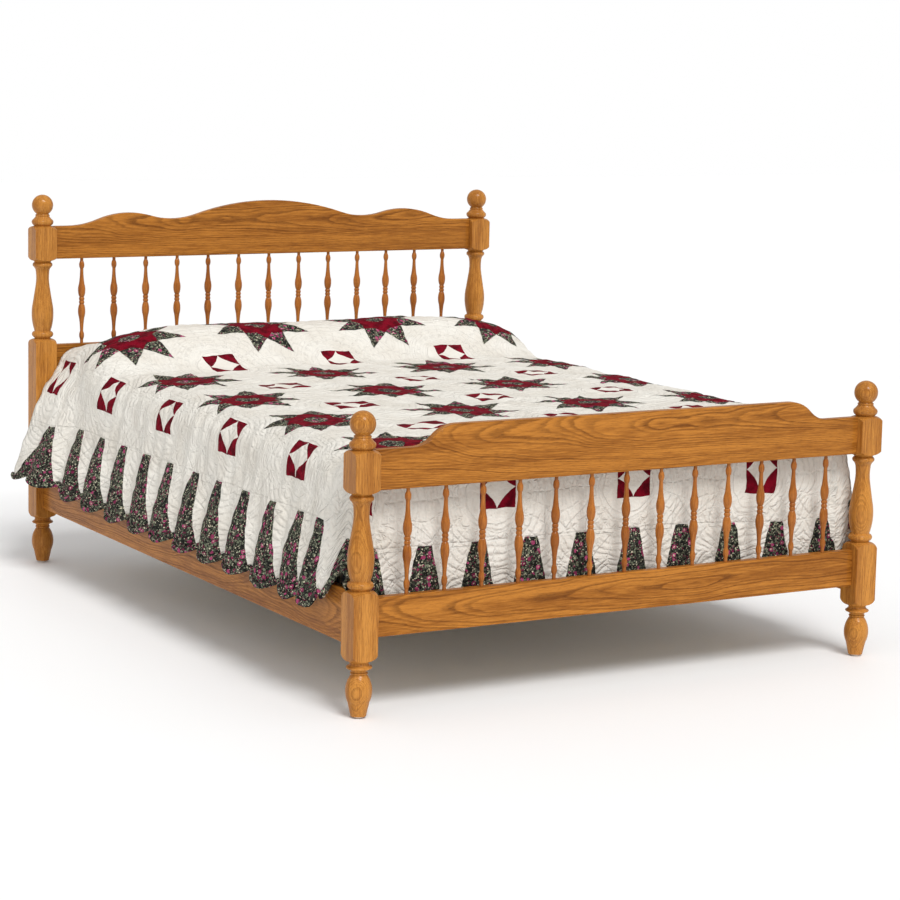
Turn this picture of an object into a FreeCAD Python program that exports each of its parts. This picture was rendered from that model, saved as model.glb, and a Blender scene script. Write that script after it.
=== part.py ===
"""A queen-size oak spindle bed with its box spring, mattress, pillows and quilt.

Millimetres. X runs across the bed, Y along it towards the headboard, Z up.
The origin is on the floor, under the middle of the bed.
"""
import math
import os
from collections import namedtuple

import FreeCAD
import Part
import Sketcher

# Driving sizes. Heights are above the floor unless the name says otherwise.
SIZES = {
    # mattress set, which the frame is built around
    "mattress_width": 1524,
    "mattress_length": 2032,
    "mattress_height": 229,
    "mattress_corner": 75,
    "mattress_edge": 62,
    "spring_height": 196,
    "spring_inset": 3,
    "spring_corner": 60,
    "spring_edge": 8,
    "side_gap": 13,
    "end_gap": 29,
    # posts
    "post_width": 70,
    "post_edge": 2,
    "foot_height": 147,
    "foot_base_radius": 20,
    "lower_shoulder": 18,
    "upper_shoulder": 12,
    "shoulder_radius": 30,
    "shoulder_bulge_up": 5,
    "shoulder_bulge_radius": 42,
    "vase_height": 248,
    "finial_height": 99,
    "ball_radius": 33,
    "ball_neck_radius": 19,
    "block_lap": 5,
    "cut_margin": 5,
    # glides under the posts
    "glide_height": 5,
    "glide_radius": 13,
    "glide_rim": 1.5,
    "glide_stem_radius": 2.5,
    "glide_stem_length": 16,
    # rails of the headboard and footboard
    "board_thickness": 25,
    "board_edge": 3,
    "rail_end_height": 103,
    "foot_rail_bottom": 203,
    "foot_rail_height": 102,
    "head_rail_bottom": 545,
    "head_rail_height": 152,
    "tenon_thickness": 15,
    "tenon_shoulder": 12,
    "tenon_length": 34,
    "tenon_gap": 0.2,
    "mortise_spare": 1,
    # spindles
    "spindle_count": 13,
    "spindle_length": 271,
    "spindle_end_gap": 96.1,
    "spindle_end_radius": 5,
    "spindle_tenon": 18,
    "spindle_gap": 0.1,
    # side rails, ledgers and slats
    "rail_thickness": 25,
    "rail_height": 140,
    "rail_bottom": 178,
    "rail_edge": 3,
    "ledger_size": 25,
    "ledger_lift": 3,
    "ledger_end_gap": 95,
    "slat_count": 5,
    "slat_width": 70,
    "slat_thickness": 19,
    "slat_edge": 2,
    "slat_end_gap": 150,
    "slat_play": 2,
    # rail hooks and their slotted plates
    "plate_width": 18,
    "plate_height": 110,
    "plate_thickness": 3,
    "plate_gap": 0.1,
    "hook_thickness": 3,
    "hook_spacing": 48,
    "hook_height": 22,
    "hook_lip": 7,
    "hook_depth": 9,
    "slot_width": 4,
    "slot_height": 30,
    "slot_spare": 2,
    # screws
    "screw_head_radius": 3.6,
    "screw_head_height": 1.5,
    "screw_radius": 1.8,
    "screw_length": 20,
    "screw_gap": 0.05,
    "screw_inset": 8,
    "screw_spare": 1,
    "ledger_screw_count": 6,
    "ledger_screw_end_gap": 50,
    "ledger_screw_length": 42,
    # pillows
    "pillow_width": 660,
    "pillow_length": 420,
    "pillow_overhang": 6,
    "pillow_spacing": 704,
    # quilt: hems are heights, and a reach is how far its outside stands past the rail
    "quilt_thickness": 11,
    "quilt_gap": 0.8,
    "quilt_side_gap": 2.5,
    "quilt_edge_gap": 2,
    "quilt_post_gap": 5,
    "quilt_flat_rise": 3,
    "quilt_middle_rise": 5,
    "fold_count": 12,
    "foot_fold_gap": 83,
    "fold_reach": 37,
    "valley_reach": 22,
    "corner_reach": 62,
    "fold_hem": 250,
    "valley_hem": 268,
    "tuck_hem": 335,
    "tuck_reach": 14,
    "foot_hem": 215,
    "foot_drop_gap": 8,
    "foot_drop_inset": 7,
    "foot_round": 60,
    "foot_knee_along": 0.25,
    "foot_knee_drop": 0.55,
    "foot_brow_along": 0.6,
    "foot_brow_drop": 0.15,
    "pillow_cover_edge": 70,
    "pillow_cover_crown": 105,
    "pillow_cover_middle": 97,
    "pillow_cover_shoulder": 20,
    "pillow_cover_start": 102,
    "pillow_cover_back": 92,
    "pillow_cover_ramp": 220,
    "pillow_cover_fall": 200,
}

# Turned stations: (height above the start of the turning, radius). An arc passes
# through a station whose name ends in _peak, between the stations beside it.
TURNINGS = {
    "foot": {
        "taper_end": (40, 27.7),
        "bulb_peak": (74, 34),
        "bulb_end": (112, 19.5),
        "ring_peak": (115, 22.5),
        "ring_end": (118, 20),
        "flare_peak": (123.5, 23.5),
        "collar_start": (127, 31.5),
        "collar_peak": (129.5, 33),
        "collar_end": (132, 31.5),
        "cove_peak": (137, 25.5),
        "cove_end": (142, 24),
    },
    "vase": {
        "gap_low": (3, 24.5),
        "bead_start": (6, 26),
        "bead_peak": (15, 33.5),
        "bead_end": (25, 26),
        "belly_start": (27, 25.5),
        "belly_peak": (75, 34),
        "belly_end": (117, 30.2),
        "neck_start": (167, 22.2),
        "neck_peak": (189, 20),
        "neck_end": (213, 21),
        "flare_peak": (224, 24),
        "cup_start": (230, 29),
        "cup_peak": (235, 31),
        "cup_end": (241, 28),
        "gap_high": (244, 25),
    },
    "finial": {
        "gap": (2, 26),
        "cone_start": (4, 28.5),
        "cone_peak": (11, 33.6),
        "cone_end": (19, 32.3),
        "cove_peak": (25, 26),
        "cove_end": (32, 21),
        "ring_peak": (34.5, 22.5),
        "ring_end": (37, 20),
    },
    "spindle": {
        "low_bead_start": (12, 5),
        "low_bead_peak": (25, 7.9),
        "low_bead_end": (38, 5.2),
        "low_taper_start": (42, 5.2),
        "low_taper_peak": (62, 6.3),
        "low_belly_start": (82, 8.7),
        "low_belly_peak": (104, 11.6),
        "low_belly_end": (122, 8.6),
        "low_groove": (125, 6.6),
        "low_ring_peak": (130.5, 8.6),
        "mid_groove": (136, 6.5),
        "high_ring_peak": (141.5, 8.7),
        "high_groove": (147, 6.5),
        "high_belly_start": (149.5, 8.4),
        "high_belly_peak": (166, 11.7),
        "high_belly_end": (188, 8.9),
        "high_taper_peak": (208, 6.5),
        "high_taper_end": (232, 5.2),
        "high_bead_start": (237, 5.2),
        "high_bead_peak": (250, 8.3),
        "high_bead_end": (262, 5),
    },
}

# Half outlines of the shaped rails' top edges: (distance from the post, height above
# the rail's bottom edge), from the post to the middle. Smooth arcs join the stations.
RAIL_TOPS = {
    "foot_rail": {
        "fall_end": (162, 127),
        "brow_end": (230, 156),
    },
    "head_rail": {
        "fall_end": (152, 122),
        "hump_end": (332, 131),
        "dip_end": (492, 134),
    },
}
HOLLOWS = ("fall", "dip")

FLATNESS = 1e-4  # how far from straight or flat an edge may be, in mm
GUESSED_BEND = 0.1  # rise of an arc over its chord before the sketch settles it

# Half outlines of a pillow: (distance from its edge, height), with _peak as above.
CROWNS = {
    "pillow_front": {
        "end_peak": (28, 42),
        "crown_start": (165, 74),
    },
    "pillow_side": {
        "end_peak": (30, 45),
        "crown_start": (110, 80),
    },
}
CRESTS = {
    "head_rail_crest": 175,
    "pillow_front_crest": 100,
    "pillow_side_crest": 100,
}

doc = FreeCAD.newDocument("spindle_bed")
sheet = doc.addObject("Spreadsheet::Sheet", "sizes")
values = {}


def set_cell(name, value):
    """Adds a named number to the sheet."""
    values[name] = float(value)
    row = len(values)
    sheet.set(f"A{row}", name)
    sheet.set(f"B{row}", str(value))
    sheet.setAlias(f"B{row}", name)


for name, value in {**SIZES, **CRESTS}.items():
    set_cell(name, value)
for shape, stations in {**TURNINGS, **RAIL_TOPS, **CROWNS}.items():
    for stop, (first, second) in stations.items():
        set_cell(f"{shape}_{stop}_a", first)
        set_cell(f"{shape}_{stop}_b", second)
doc.recompute()


# A corner of an outline. An arc leads to it through via, or bent to the left (1) or the
# right (-1). Where smooth, the lines that meet there are tangent, and where it slides,
# x is only a first guess and the tangents settle it.
Spot = namedtuple("Spot", "x y via bend smooth slides", defaults=(None, 0, False, False))


class Size:
    """A number with the expression on the sheet that gives it."""

    def __init__(self, value, text):
        self.value = value
        self.text = text

    def __add__(self, other):
        return join(self, "+", other)

    def __radd__(self, other):
        return join(other, "+", self)

    def __sub__(self, other):
        return join(self, "-", other)

    def __rsub__(self, other):
        return join(other, "-", self)

    def __mul__(self, other):
        return join(self, "*", other)

    def __rmul__(self, other):
        return join(other, "*", self)

    def __truediv__(self, other):
        return join(self, "/", other)

    def __neg__(self):
        return join(-1, "*", self)

    def root(self):
        return Size(self.value ** 0.5, f"sqrt({self.text})")


def as_size(number):
    return number if isinstance(number, Size) else Size(float(number), f"({number})")


def join(left, sign, right):
    left = as_size(left)
    right = as_size(right)
    results = {
        "+": lambda a, b: a + b,
        "-": lambda a, b: a - b,
        "*": lambda a, b: a * b,
        "/": lambda a, b: a / b,
    }
    return Size(results[sign](left.value, right.value), f"({left.text} {sign} {right.text})")


class SheetSizes:
    """Reads a cell of the sheet by its name, as a Size."""

    def __getattr__(self, name):
        return Size(values[name], f"sizes.{name}")


S = SheetSizes()


def station(shape, name):
    return getattr(S, f"{shape}_{name}_a"), getattr(S, f"{shape}_{name}_b")


# Places worked out from the driving sizes
rail_x = S.mattress_width / 2 + S.side_gap + S.rail_thickness / 2
post_y = S.mattress_length / 2 + S.end_gap + S.post_width / 2
post_face = S.post_width / 2
board_half = rail_x - post_face
rail_half = post_y - post_face
foot_rail_top = S.foot_rail_bottom + S.foot_rail_height
head_rail_top = S.head_rail_bottom + S.head_rail_height
foot_top_bottom = foot_rail_top + S.spindle_length
head_top_bottom = head_rail_top + S.spindle_length
ledger_bottom = S.rail_bottom + S.ledger_lift
ledger_half = rail_half - S.ledger_end_gap
slat_bottom = ledger_bottom + S.ledger_size
spring_bottom = slat_bottom + S.slat_thickness
mattress_bottom = spring_bottom + S.spring_height
mattress_top = mattress_bottom + S.mattress_height
hook_height_middle = S.rail_bottom + S.rail_height / 2
spindle_pitch = (2 * board_half - 2 * S.spindle_end_gap) / (S.spindle_count - 1)
slat_pitch = (2 * ledger_half - 2 * S.slat_end_gap) / (S.slat_count - 1)
screw_pitch = (2 * ledger_half - 2 * S.ledger_screw_end_gap) / (S.ledger_screw_count - 1)
screw_reach = S.plate_height / 2 - S.screw_inset
pillow_y = S.mattress_length / 2 + S.pillow_overhang - S.pillow_length / 2
quilt_foot = S.mattress_length / 2 + S.foot_drop_gap + S.quilt_thickness
quilt_head = rail_half - S.quilt_post_gap
fold_pitch = (quilt_head + quilt_foot - S.foot_fold_gap) / S.fold_count
nodes = []


def bind(thing, path, length):
    """Gives a property the expression of a size."""
    thing.setExpression(path, as_size(length).text)


def new_body(name, is_node=True):
    body = doc.addObject("PartDesign::Body", name)
    body.Label = name
    if is_node:
        nodes.append(body)
    return body


def place(body, x=0, y=0, z=0, turn=0):
    """Puts a body at a point, turned by some degrees about the vertical."""
    body.Placement.Rotation = FreeCAD.Rotation(FreeCAD.Vector(0, 0, 1), turn)
    bind(body, "Placement.Base.x", x)
    bind(body, "Placement.Base.y", y)
    bind(body, "Placement.Base.z", z)


def new_sketch(body, name, plane, offset=0):
    """Starts a sketch on one of the body's planes, moved along its normal."""
    support = next(item for item in body.Origin.OriginFeatures if item.Role == f"{plane}_Plane")
    sketch = body.newObject("Sketcher::SketchObject", f"{body.Name}_{name}")
    sketch.AttachmentSupport = [(support, "")]
    sketch.MapMode = "FlatFace"
    bind(sketch, "AttachmentOffset.Base.z", offset)
    return sketch


def fix_point(sketch, geometry, point, x, y):
    """Ties a point of the sketch to its sizes, or to one where x is None."""
    for kind, length in (("DistanceX", x), ("DistanceY", y)):
        if length is None:
            continue
        length = as_size(length)
        limit = Sketcher.Constraint(kind, -1, 1, geometry, point, length.value)
        index = sketch.addConstraint(limit)
        bind(sketch, f"Constraints[{index}]", length)


def vector(x, y):
    return FreeCAD.Vector(as_size(x).value, as_size(y).value, 0)


def first_arc(start, end, bend):
    """A shallow arc between two points, which the sketch then makes tangent."""
    across = end - start
    side = FreeCAD.Vector(across.y, -across.x, 0)
    return Part.Arc(start, (start + end) / 2 + side * bend * GUESSED_BEND, end)


def draw_loop(sketch, spots):
    """Draws a closed outline through its corners, given as Spots or as (x, y)."""
    spots = [Spot(*spot) for spot in spots]
    ends = []
    for index, spot in enumerate(spots):
        start = vector(spots[index - 1].x, spots[index - 1].y)
        end = vector(spot.x, spot.y)
        if spot.via:
            curve = Part.Arc(start, vector(*spot.via), end)
        elif spot.bend:
            curve = first_arc(start, end, spot.bend)
        else:
            curve = Part.LineSegment(start, end)
        geometry = sketch.addGeometry(curve)
        forward = sketch.getPoint(geometry, 1).isEqual(start, FLATNESS)
        ends.append((geometry, 1, 2) if forward else (geometry, 2, 1))
    for index, (geometry, first, last) in enumerate(ends):
        before, _, tail = ends[index - 1]
        kind = "Tangent" if spots[index - 1].smooth else "Coincident"
        sketch.addConstraint(Sketcher.Constraint(kind, before, tail, geometry, first))
        x = None if spots[index].slides else spots[index].x
        fix_point(sketch, geometry, last, x, spots[index].y)
        if spots[index].via:
            via = sketch.addGeometry(Part.Point(vector(*spots[index].via)), True)
            fix_point(sketch, via, 1, *spots[index].via)
            sketch.addConstraint(Sketcher.Constraint("PointOnObject", via, 1, geometry))


def draw_box(sketch, x_low, x_high, y_low, y_high):
    draw_loop(sketch, [(x_low, y_low), (x_high, y_low), (x_high, y_high), (x_low, y_high)])


def draw_circle(sketch, x, y, radius):
    circle = Part.Circle(vector(x, y), FreeCAD.Vector(0, 0, 1), radius.value)
    geometry = sketch.addGeometry(circle)
    fix_point(sketch, geometry, 3, x, y)
    index = sketch.addConstraint(Sketcher.Constraint("Radius", geometry, radius.value))
    bind(sketch, f"Constraints[{index}]", radius)


def solid(kind, sketch, length, reverse=False, both_ways=False):
    """Pads or pockets a sketch. A pocket goes against the sketch's normal."""
    body = sketch.getParentGeoFeatureGroup()
    feature = body.newObject(f"PartDesign::{kind}", f"{sketch.Name}_{kind.lower()}")
    feature.Profile = sketch
    feature.Reversed = reverse
    feature.Midplane = both_ways
    bind(feature, "Length", length)
    return feature


def turn(kind, sketch):
    """Turns a sketch about its upright axis."""
    body = sketch.getParentGeoFeatureGroup()
    feature = body.newObject(f"PartDesign::{kind}", f"{sketch.Name}_{kind.lower()}")
    feature.Profile = sketch
    feature.ReferenceAxis = (sketch, ["V_Axis"])
    feature.Angle = 360
    return feature


def round_edges(body, radius, chosen):
    """Rounds the edges of the body's last feature that a test picks."""
    doc.recompute()
    base = body.Tip
    edges = base.Shape.Edges
    names = [f"Edge{index}" for index, edge in enumerate(edges, 1) if chosen(edge)]
    fillet = body.newObject("PartDesign::Fillet", f"{body.Name}_rounding")
    fillet.Base = (base, names)
    bind(fillet, "Radius", radius)
    return fillet


def is_along(edge, axis):
    """True for a straight edge along an axis, given as 0, 1 or 2."""
    box = edge.BoundBox
    spans = [box.XLength, box.YLength, box.ZLength]
    length = spans.pop(axis)
    return length > 1 and max(spans) < FLATNESS


def is_flat_on(edge, axis):
    """True for an edge that lies in one plane across an axis."""
    box = edge.BoundBox
    return [box.XLength, box.YLength, box.ZLength][axis] < FLATNESS


def repeat(feature, sketch, length, count, axis="H_Axis"):
    """Repeats a feature in a row along an axis of its sketch."""
    body = sketch.getParentGeoFeatureGroup()
    pattern = body.newObject("PartDesign::LinearPattern", f"{feature.Name}_row")
    pattern.Originals = [feature]
    pattern.Direction = (sketch, [axis])
    bind(pattern, "Length", length)
    bind(pattern, "Occurrences", count)
    body.Tip = pattern
    return pattern


def copy_body(name, original, is_node=True):
    """Makes another piece of the same shape."""
    body = new_body(name, is_node)
    base = body.newObject("PartDesign::FeatureBase", f"{name}_base")
    base.BaseFeature = original
    return body


def group(name, pieces):
    """Puts identical fasteners in one node, as separate solids."""
    compound = doc.addObject("Part::Compound", name)
    compound.Label = name
    compound.Links = pieces
    nodes.append(compound)


def path_spots(stations, place_of):
    """Turns named stations into corners, with each _peak as the point of an arc."""
    spots = []
    via = None
    for name in stations:
        if name.endswith("_peak"):
            via = place_of(name)
        else:
            spots.append(Spot(*place_of(name), via))
            via = None
    return spots


def turned_spots(shape, start):
    """The outline of a turning that starts at a height."""
    def place_of(name):
        height, radius = station(shape, name)
        return radius, start + height
    return path_spots(TURNINGS[shape], place_of)


def shoulder_spots(level, height, upwards):
    """The turned rounding of a square block's corners, from or up to a level."""
    sign = 1 if upwards else -1
    via = (S.shoulder_bulge_radius, level + sign * S.shoulder_bulge_up)
    corner = (post_face * as_size(2).root(), level + sign * height)
    outside = (S.post_width, level + sign * height)
    if upwards:
        return [(S.shoulder_radius, level), Spot(*corner, via), outside]
    return [outside, corner, Spot(S.shoulder_radius, level, via)]


def cut_turning(body, name, spots):
    sketch = new_sketch(body, name, "XZ")
    draw_loop(sketch, spots)
    turn("Groove", sketch)


def cut_mortise(body, name, side_x, bottom, top):
    """Cuts the mortise of a board's tenon in the post's inner face."""
    sketch = new_sketch(body, name, "YZ", -side_x * post_face)
    half = S.tenon_thickness / 2 + S.tenon_gap
    low = bottom + S.tenon_shoulder - S.tenon_gap
    high = top - S.tenon_shoulder + S.tenon_gap
    draw_box(sketch, -half, half, low, high)
    solid("Pocket", sketch, S.tenon_length + S.mortise_spare, reverse=side_x > 0)


def cut_plate_seat(body, side_y):
    """Cuts the seat of the slotted plate, the hooks' room and the screw holes."""
    middle = hook_height_middle
    head_end = side_y > 0
    face = side_y * post_face
    seat = new_sketch(body, "plate_seat", "XZ", face)
    half_width = S.plate_width / 2 + S.plate_gap
    half_height = S.plate_height / 2 + S.plate_gap
    draw_box(seat, -half_width, half_width, middle - half_height, middle + half_height)
    solid("Pocket", seat, S.plate_thickness, reverse=not head_end)
    room = new_sketch(body, "hook_room", "XZ", face)
    slot_half = S.slot_width / 2
    room_half = S.hook_spacing / 2 + S.slot_height / 2
    draw_box(room, -slot_half, slot_half, middle - room_half, middle + room_half)
    solid("Pocket", room, S.hook_depth + S.slot_spare, reverse=not head_end)
    screws = new_sketch(body, "screw_holes", "XZ", face)
    for sign in (-1, 1):
        draw_circle(screws, 0, middle + sign * screw_reach, S.screw_radius + S.screw_gap)
    solid("Pocket", screws, S.screw_length + S.screw_spare, reverse=not head_end)


def make_post(name, side_x, side_y, rail_bottom, rail_top, top_bottom):
    """A turned post with square blocks where the boards and side rails join it."""
    block_bottom = top_bottom - S.block_lap
    block_top = top_bottom + S.rail_end_height
    lower_top = block_bottom - S.vase_height
    top = block_top + S.finial_height
    out = S.post_width
    body = new_body(name)
    place(body, side_x * rail_x, side_y * post_y)
    section = new_sketch(body, "section", "XY", S.glide_height)
    draw_box(section, -post_face, post_face, -post_face, post_face)
    solid("Pad", section, top - S.glide_height)
    round_edges(body, S.post_edge, lambda edge: is_along(edge, 2))
    foot = [(out, S.glide_height - S.cut_margin)]
    foot += [(S.foot_base_radius, S.glide_height - S.cut_margin)]
    foot += [(S.foot_base_radius, S.glide_height)]
    foot += turned_spots("foot", as_size(0))
    foot += shoulder_spots(S.foot_height, S.lower_shoulder, upwards=True)
    cut_turning(body, "foot", foot)
    vase = shoulder_spots(lower_top, S.lower_shoulder, upwards=False)
    vase += turned_spots("vase", lower_top)
    vase += shoulder_spots(block_bottom, S.upper_shoulder, upwards=True)
    cut_turning(body, "vase", vase)
    ball_middle = top - S.ball_radius
    ball_drop = S.ball_radius * S.ball_radius - S.ball_neck_radius * S.ball_neck_radius
    finial = shoulder_spots(block_top, S.upper_shoulder, upwards=False)
    finial += turned_spots("finial", block_top)
    finial += [(S.ball_neck_radius, ball_middle - ball_drop.root())]
    finial += [Spot(0, top, via=(S.ball_radius, ball_middle))]
    finial += [(0, top + S.cut_margin), (out, top + S.cut_margin)]
    cut_turning(body, "finial", finial)
    cut_mortise(body, "low_mortise", side_x, rail_bottom, rail_top)
    cut_mortise(body, "top_mortise", side_x, top_bottom, block_top)
    cut_plate_seat(body, side_y)
    stem = new_sketch(body, "glide_hole", "XY", S.glide_height)
    draw_circle(stem, 0, 0, S.glide_stem_radius + S.screw_gap)
    solid("Pocket", stem, S.glide_stem_length + S.screw_spare, reverse=True)
    return body


def make_posts():
    for side_x, side in ((-1, "left"), (1, "right")):
        make_post(f"head_post_{side}", side_x, 1, S.head_rail_bottom, head_rail_top, head_top_bottom)
        make_post(f"foot_post_{side}", side_x, -1, S.foot_rail_bottom, foot_rail_top, foot_top_bottom)


def make_glides():
    """A nail-on glide under each post."""
    base = S.glide_radius
    glide = new_body("glide", is_node=False)
    sketch = new_sketch(glide, "profile", "XZ")
    stem = S.glide_stem_radius
    draw_loop(sketch, [
        (0, 0),
        (base - S.glide_rim, 0),
        (base, S.glide_rim),
        (base, S.glide_height),
        (stem, S.glide_height),
        (stem, S.glide_height + S.glide_stem_length),
        (0, S.glide_height + S.glide_stem_length),
    ])
    turn("Revolution", sketch)
    glides = []
    for side_x in (-1, 1):
        for side_y in (-1, 1):
            copy = copy_body(f"glide_copy_{len(glides) + 1}", glide, is_node=False)
            place(copy, side_x * rail_x, side_y * post_y)
            glides.append(copy)
    group("foot_glides", glides)


def cut_spindle_holes(body, level, upwards):
    """Drills the row of blind holes for the spindles' ends."""
    sketch = new_sketch(body, "spindle_hole", "XY", level)
    draw_circle(sketch, -board_half + S.spindle_end_gap, 0, S.spindle_end_radius + S.spindle_gap)
    hole = solid("Pocket", sketch, S.spindle_tenon + S.mortise_spare, reverse=upwards)
    repeat(hole, sketch, spindle_pitch * (S.spindle_count - 1), S.spindle_count)


def make_board(name, side_y, bottom, end_height, top_edge, hole_level, upwards):
    """A rail between two posts, with a tenon at each end."""
    body = new_body(name)
    place(body, 0, side_y * post_y, bottom)
    outline = new_sketch(body, "outline", "XZ")
    draw_loop(outline, [(-board_half, 0), (board_half, 0), (board_half, end_height)] + top_edge)
    solid("Pad", outline, S.board_thickness, both_ways=True)
    round_edges(body, S.board_edge, lambda edge: is_flat_on(edge, 1) and not is_along(edge, 2))
    tenons = new_sketch(body, "tenons", "XZ")
    reach = board_half + S.tenon_length
    draw_box(tenons, -reach, reach, S.tenon_shoulder, end_height - S.tenon_shoulder)
    solid("Pad", tenons, S.tenon_thickness, both_ways=True)
    cut_spindle_holes(body, hole_level, upwards)
    return body


def shaped_top(shape, crest=None):
    """The top edge of a shaped rail, from its right end to its left end."""
    right = []
    for name in RAIL_TOPS[shape]:
        inward, height = station(shape, name)
        bend = -1 if name.startswith(HOLLOWS) else 1
        right.append(Spot(board_half - inward, height, bend=bend, smooth=True))
    guess = (board_half + right[0].x) / 2
    right.insert(0, Spot(guess, S.rail_end_height, smooth=True, slides=True))
    bends = [spot.bend for spot in right[1:]] + [0]
    left = [spot._replace(x=-spot.x, bend=bend) for spot, bend in zip(right, bends)]
    left.reverse()
    if crest:
        left[0] = left[0]._replace(via=(0, crest))
    return right + left + [(-board_half, S.rail_end_height)]


def make_boards():
    head_top = shaped_top("head_rail", S.head_rail_crest)
    foot_top = shaped_top("foot_rail")
    make_board("head_top_rail", 1, head_top_bottom, S.rail_end_height, head_top, as_size(0), True)
    make_board("foot_top_rail", -1, foot_top_bottom, S.rail_end_height, foot_top, as_size(0), True)
    for name, side_y, bottom, height in (
        ("head_lower_rail", 1, S.head_rail_bottom, S.head_rail_height),
        ("foot_bottom_rail", -1, S.foot_rail_bottom, S.foot_rail_height),
    ):
        make_board(name, side_y, bottom, height, [(-board_half, height)], height, False)


def make_spindles():
    """The turned spindles of both boards, each with a round tenon at both ends."""
    first = None
    for board, side_y, bottom in (("head", 1, head_rail_top), ("foot", -1, foot_rail_top)):
        for index in range(int(S.spindle_count.value)):
            name = f"{board}_spindle_{index + 1:02d}"
            if first is None:
                first = new_body(name)
                body = first
                profile = new_sketch(first, "profile", "XZ")
                end = S.spindle_end_radius
                top = S.spindle_length + S.spindle_tenon
                spots = [(0, -S.spindle_tenon), (end, -S.spindle_tenon)]
                spots += turned_spots("spindle", as_size(0))
                spots += [(end, top), (0, top)]
                draw_loop(profile, spots)
                turn("Revolution", profile)
            else:
                body = copy_body(name, first)
            place(body, -board_half + S.spindle_end_gap + index * spindle_pitch, side_y * post_y, bottom)


def make_side_rails():
    """The long rails that hook on to the posts, with seats for their hook plates."""
    right = new_body("side_rail_right")
    section = new_sketch(right, "section", "XZ")
    half = S.rail_thickness / 2
    draw_box(section, -half, half, 0, S.rail_height)
    solid("Pad", section, 2 * rail_half, both_ways=True)
    round_edges(right, S.rail_edge, lambda edge: is_along(edge, 1))
    middle = S.rail_height / 2
    for end, side_y in (("head", 1), ("foot", -1)):
        seat = new_sketch(right, f"{end}_seat", "XZ", -side_y * rail_half)
        half_width = S.plate_width / 2 + S.plate_gap
        half_height = S.plate_height / 2 + S.plate_gap
        draw_box(seat, -half_width, half_width, middle - half_height, middle + half_height)
        solid("Pocket", seat, S.plate_thickness, reverse=side_y > 0)
        holes = new_sketch(right, f"{end}_screw_holes", "XZ", -side_y * rail_half)
        for sign in (-1, 1):
            draw_circle(holes, 0, middle + sign * screw_reach, S.screw_radius + S.screw_gap)
        solid("Pocket", holes, S.screw_length + S.screw_spare, reverse=side_y > 0)
    pilots = new_sketch(right, "pilots", "YZ", -half)
    height = S.ledger_lift + S.ledger_size / 2
    start = -ledger_half + S.ledger_screw_end_gap
    draw_circle(pilots, start, height, S.screw_radius + S.screw_gap)
    depth = S.ledger_screw_length + S.screw_spare - S.ledger_size
    pilot = solid("Pocket", pilots, depth, reverse=True)
    repeat(pilot, pilots, screw_pitch * (S.ledger_screw_count - 1), S.ledger_screw_count)
    left = copy_body("side_rail_left", right)
    place(right, rail_x, 0, S.rail_bottom)
    place(left, -rail_x, 0, S.rail_bottom, turn=180)


def make_ledgers():
    """The cleats inside the side rails that carry the slats."""
    right = new_body("ledger_right")
    half = S.ledger_size / 2
    section = new_sketch(right, "section", "XZ")
    draw_box(section, -half, half, 0, S.ledger_size)
    solid("Pad", section, 2 * ledger_half, both_ways=True)
    start = -ledger_half + S.ledger_screw_end_gap
    span = screw_pitch * (S.ledger_screw_count - 1)
    for name, radius, depth in (
        ("shank_hole", S.screw_radius, S.ledger_size),
        ("head_hole", S.screw_head_radius, S.screw_head_height),
    ):
        sketch = new_sketch(right, name, "YZ", -half)
        draw_circle(sketch, start, half, radius + S.screw_gap)
        hole = solid("Pocket", sketch, depth, reverse=True)
        repeat(hole, sketch, span, S.ledger_screw_count)
    left = copy_body("ledger_left", right)
    offset = rail_x - S.rail_thickness / 2 - half
    place(right, offset, 0, ledger_bottom)
    place(left, -offset, 0, ledger_bottom, turn=180)


def make_slats():
    first = None
    for index in range(int(S.slat_count.value)):
        name = f"slat_{index + 1}"
        if first is None:
            first = new_body(name)
            body = first
            section = new_sketch(first, "section", "YZ")
            draw_box(section, -S.slat_width / 2, S.slat_width / 2, 0, S.slat_thickness)
            length = 2 * (rail_x - S.rail_thickness / 2 - S.slat_play)
            solid("Pad", section, length, both_ways=True)
            round_edges(first, S.slat_edge, lambda edge: is_along(edge, 0))
        else:
            body = copy_body(name, first)
        place(body, 0, -ledger_half + S.slat_end_gap + index * slat_pitch, slat_bottom)


def make_screw(name, length):
    """A screw with a flat round head, pointing along Z from the top of its head."""
    screw = new_body(name, is_node=False)
    sketch = new_sketch(screw, "profile", "XZ")
    draw_loop(sketch, [
        (0, 0),
        (S.screw_head_radius, 0),
        (S.screw_head_radius, S.screw_head_height),
        (S.screw_radius, S.screw_head_height),
        (S.screw_radius, length - S.screw_radius),
        (0, length),
    ])
    turn("Revolution", sketch)
    return screw


def place_screw(screw, name, point, direction):
    """Copies a screw, with the top of its head at a point."""
    copy = copy_body(name, screw, is_node=False)
    place(copy, *point)
    copy.Placement.Rotation = FreeCAD.Rotation(FreeCAD.Vector(0, 0, 1), FreeCAD.Vector(*direction))
    return copy


def cut_plate_screws(body, forward):
    """Counterbored holes near both ends of a plate, whose front is at its origin."""
    for name, radius, depth in (
        ("shank_holes", S.screw_radius, S.plate_thickness),
        ("head_holes", S.screw_head_radius, S.screw_head_height),
    ):
        sketch = new_sketch(body, name, "XZ")
        for sign in (-1, 1):
            draw_circle(sketch, 0, sign * screw_reach, radius + S.screw_gap)
        solid("Pocket", sketch, depth, reverse=not forward)


def start_plate(name, forward):
    """A plate whose front is at its origin, standing back from it."""
    body = new_body(name)
    sketch = new_sketch(body, "plate", "XZ")
    half_width = S.plate_width / 2
    half_height = S.plate_height / 2
    draw_box(sketch, -half_width, half_width, -half_height, half_height)
    solid("Pad", sketch, S.plate_thickness, reverse=forward)
    cut_plate_screws(body, forward)
    return body


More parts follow.
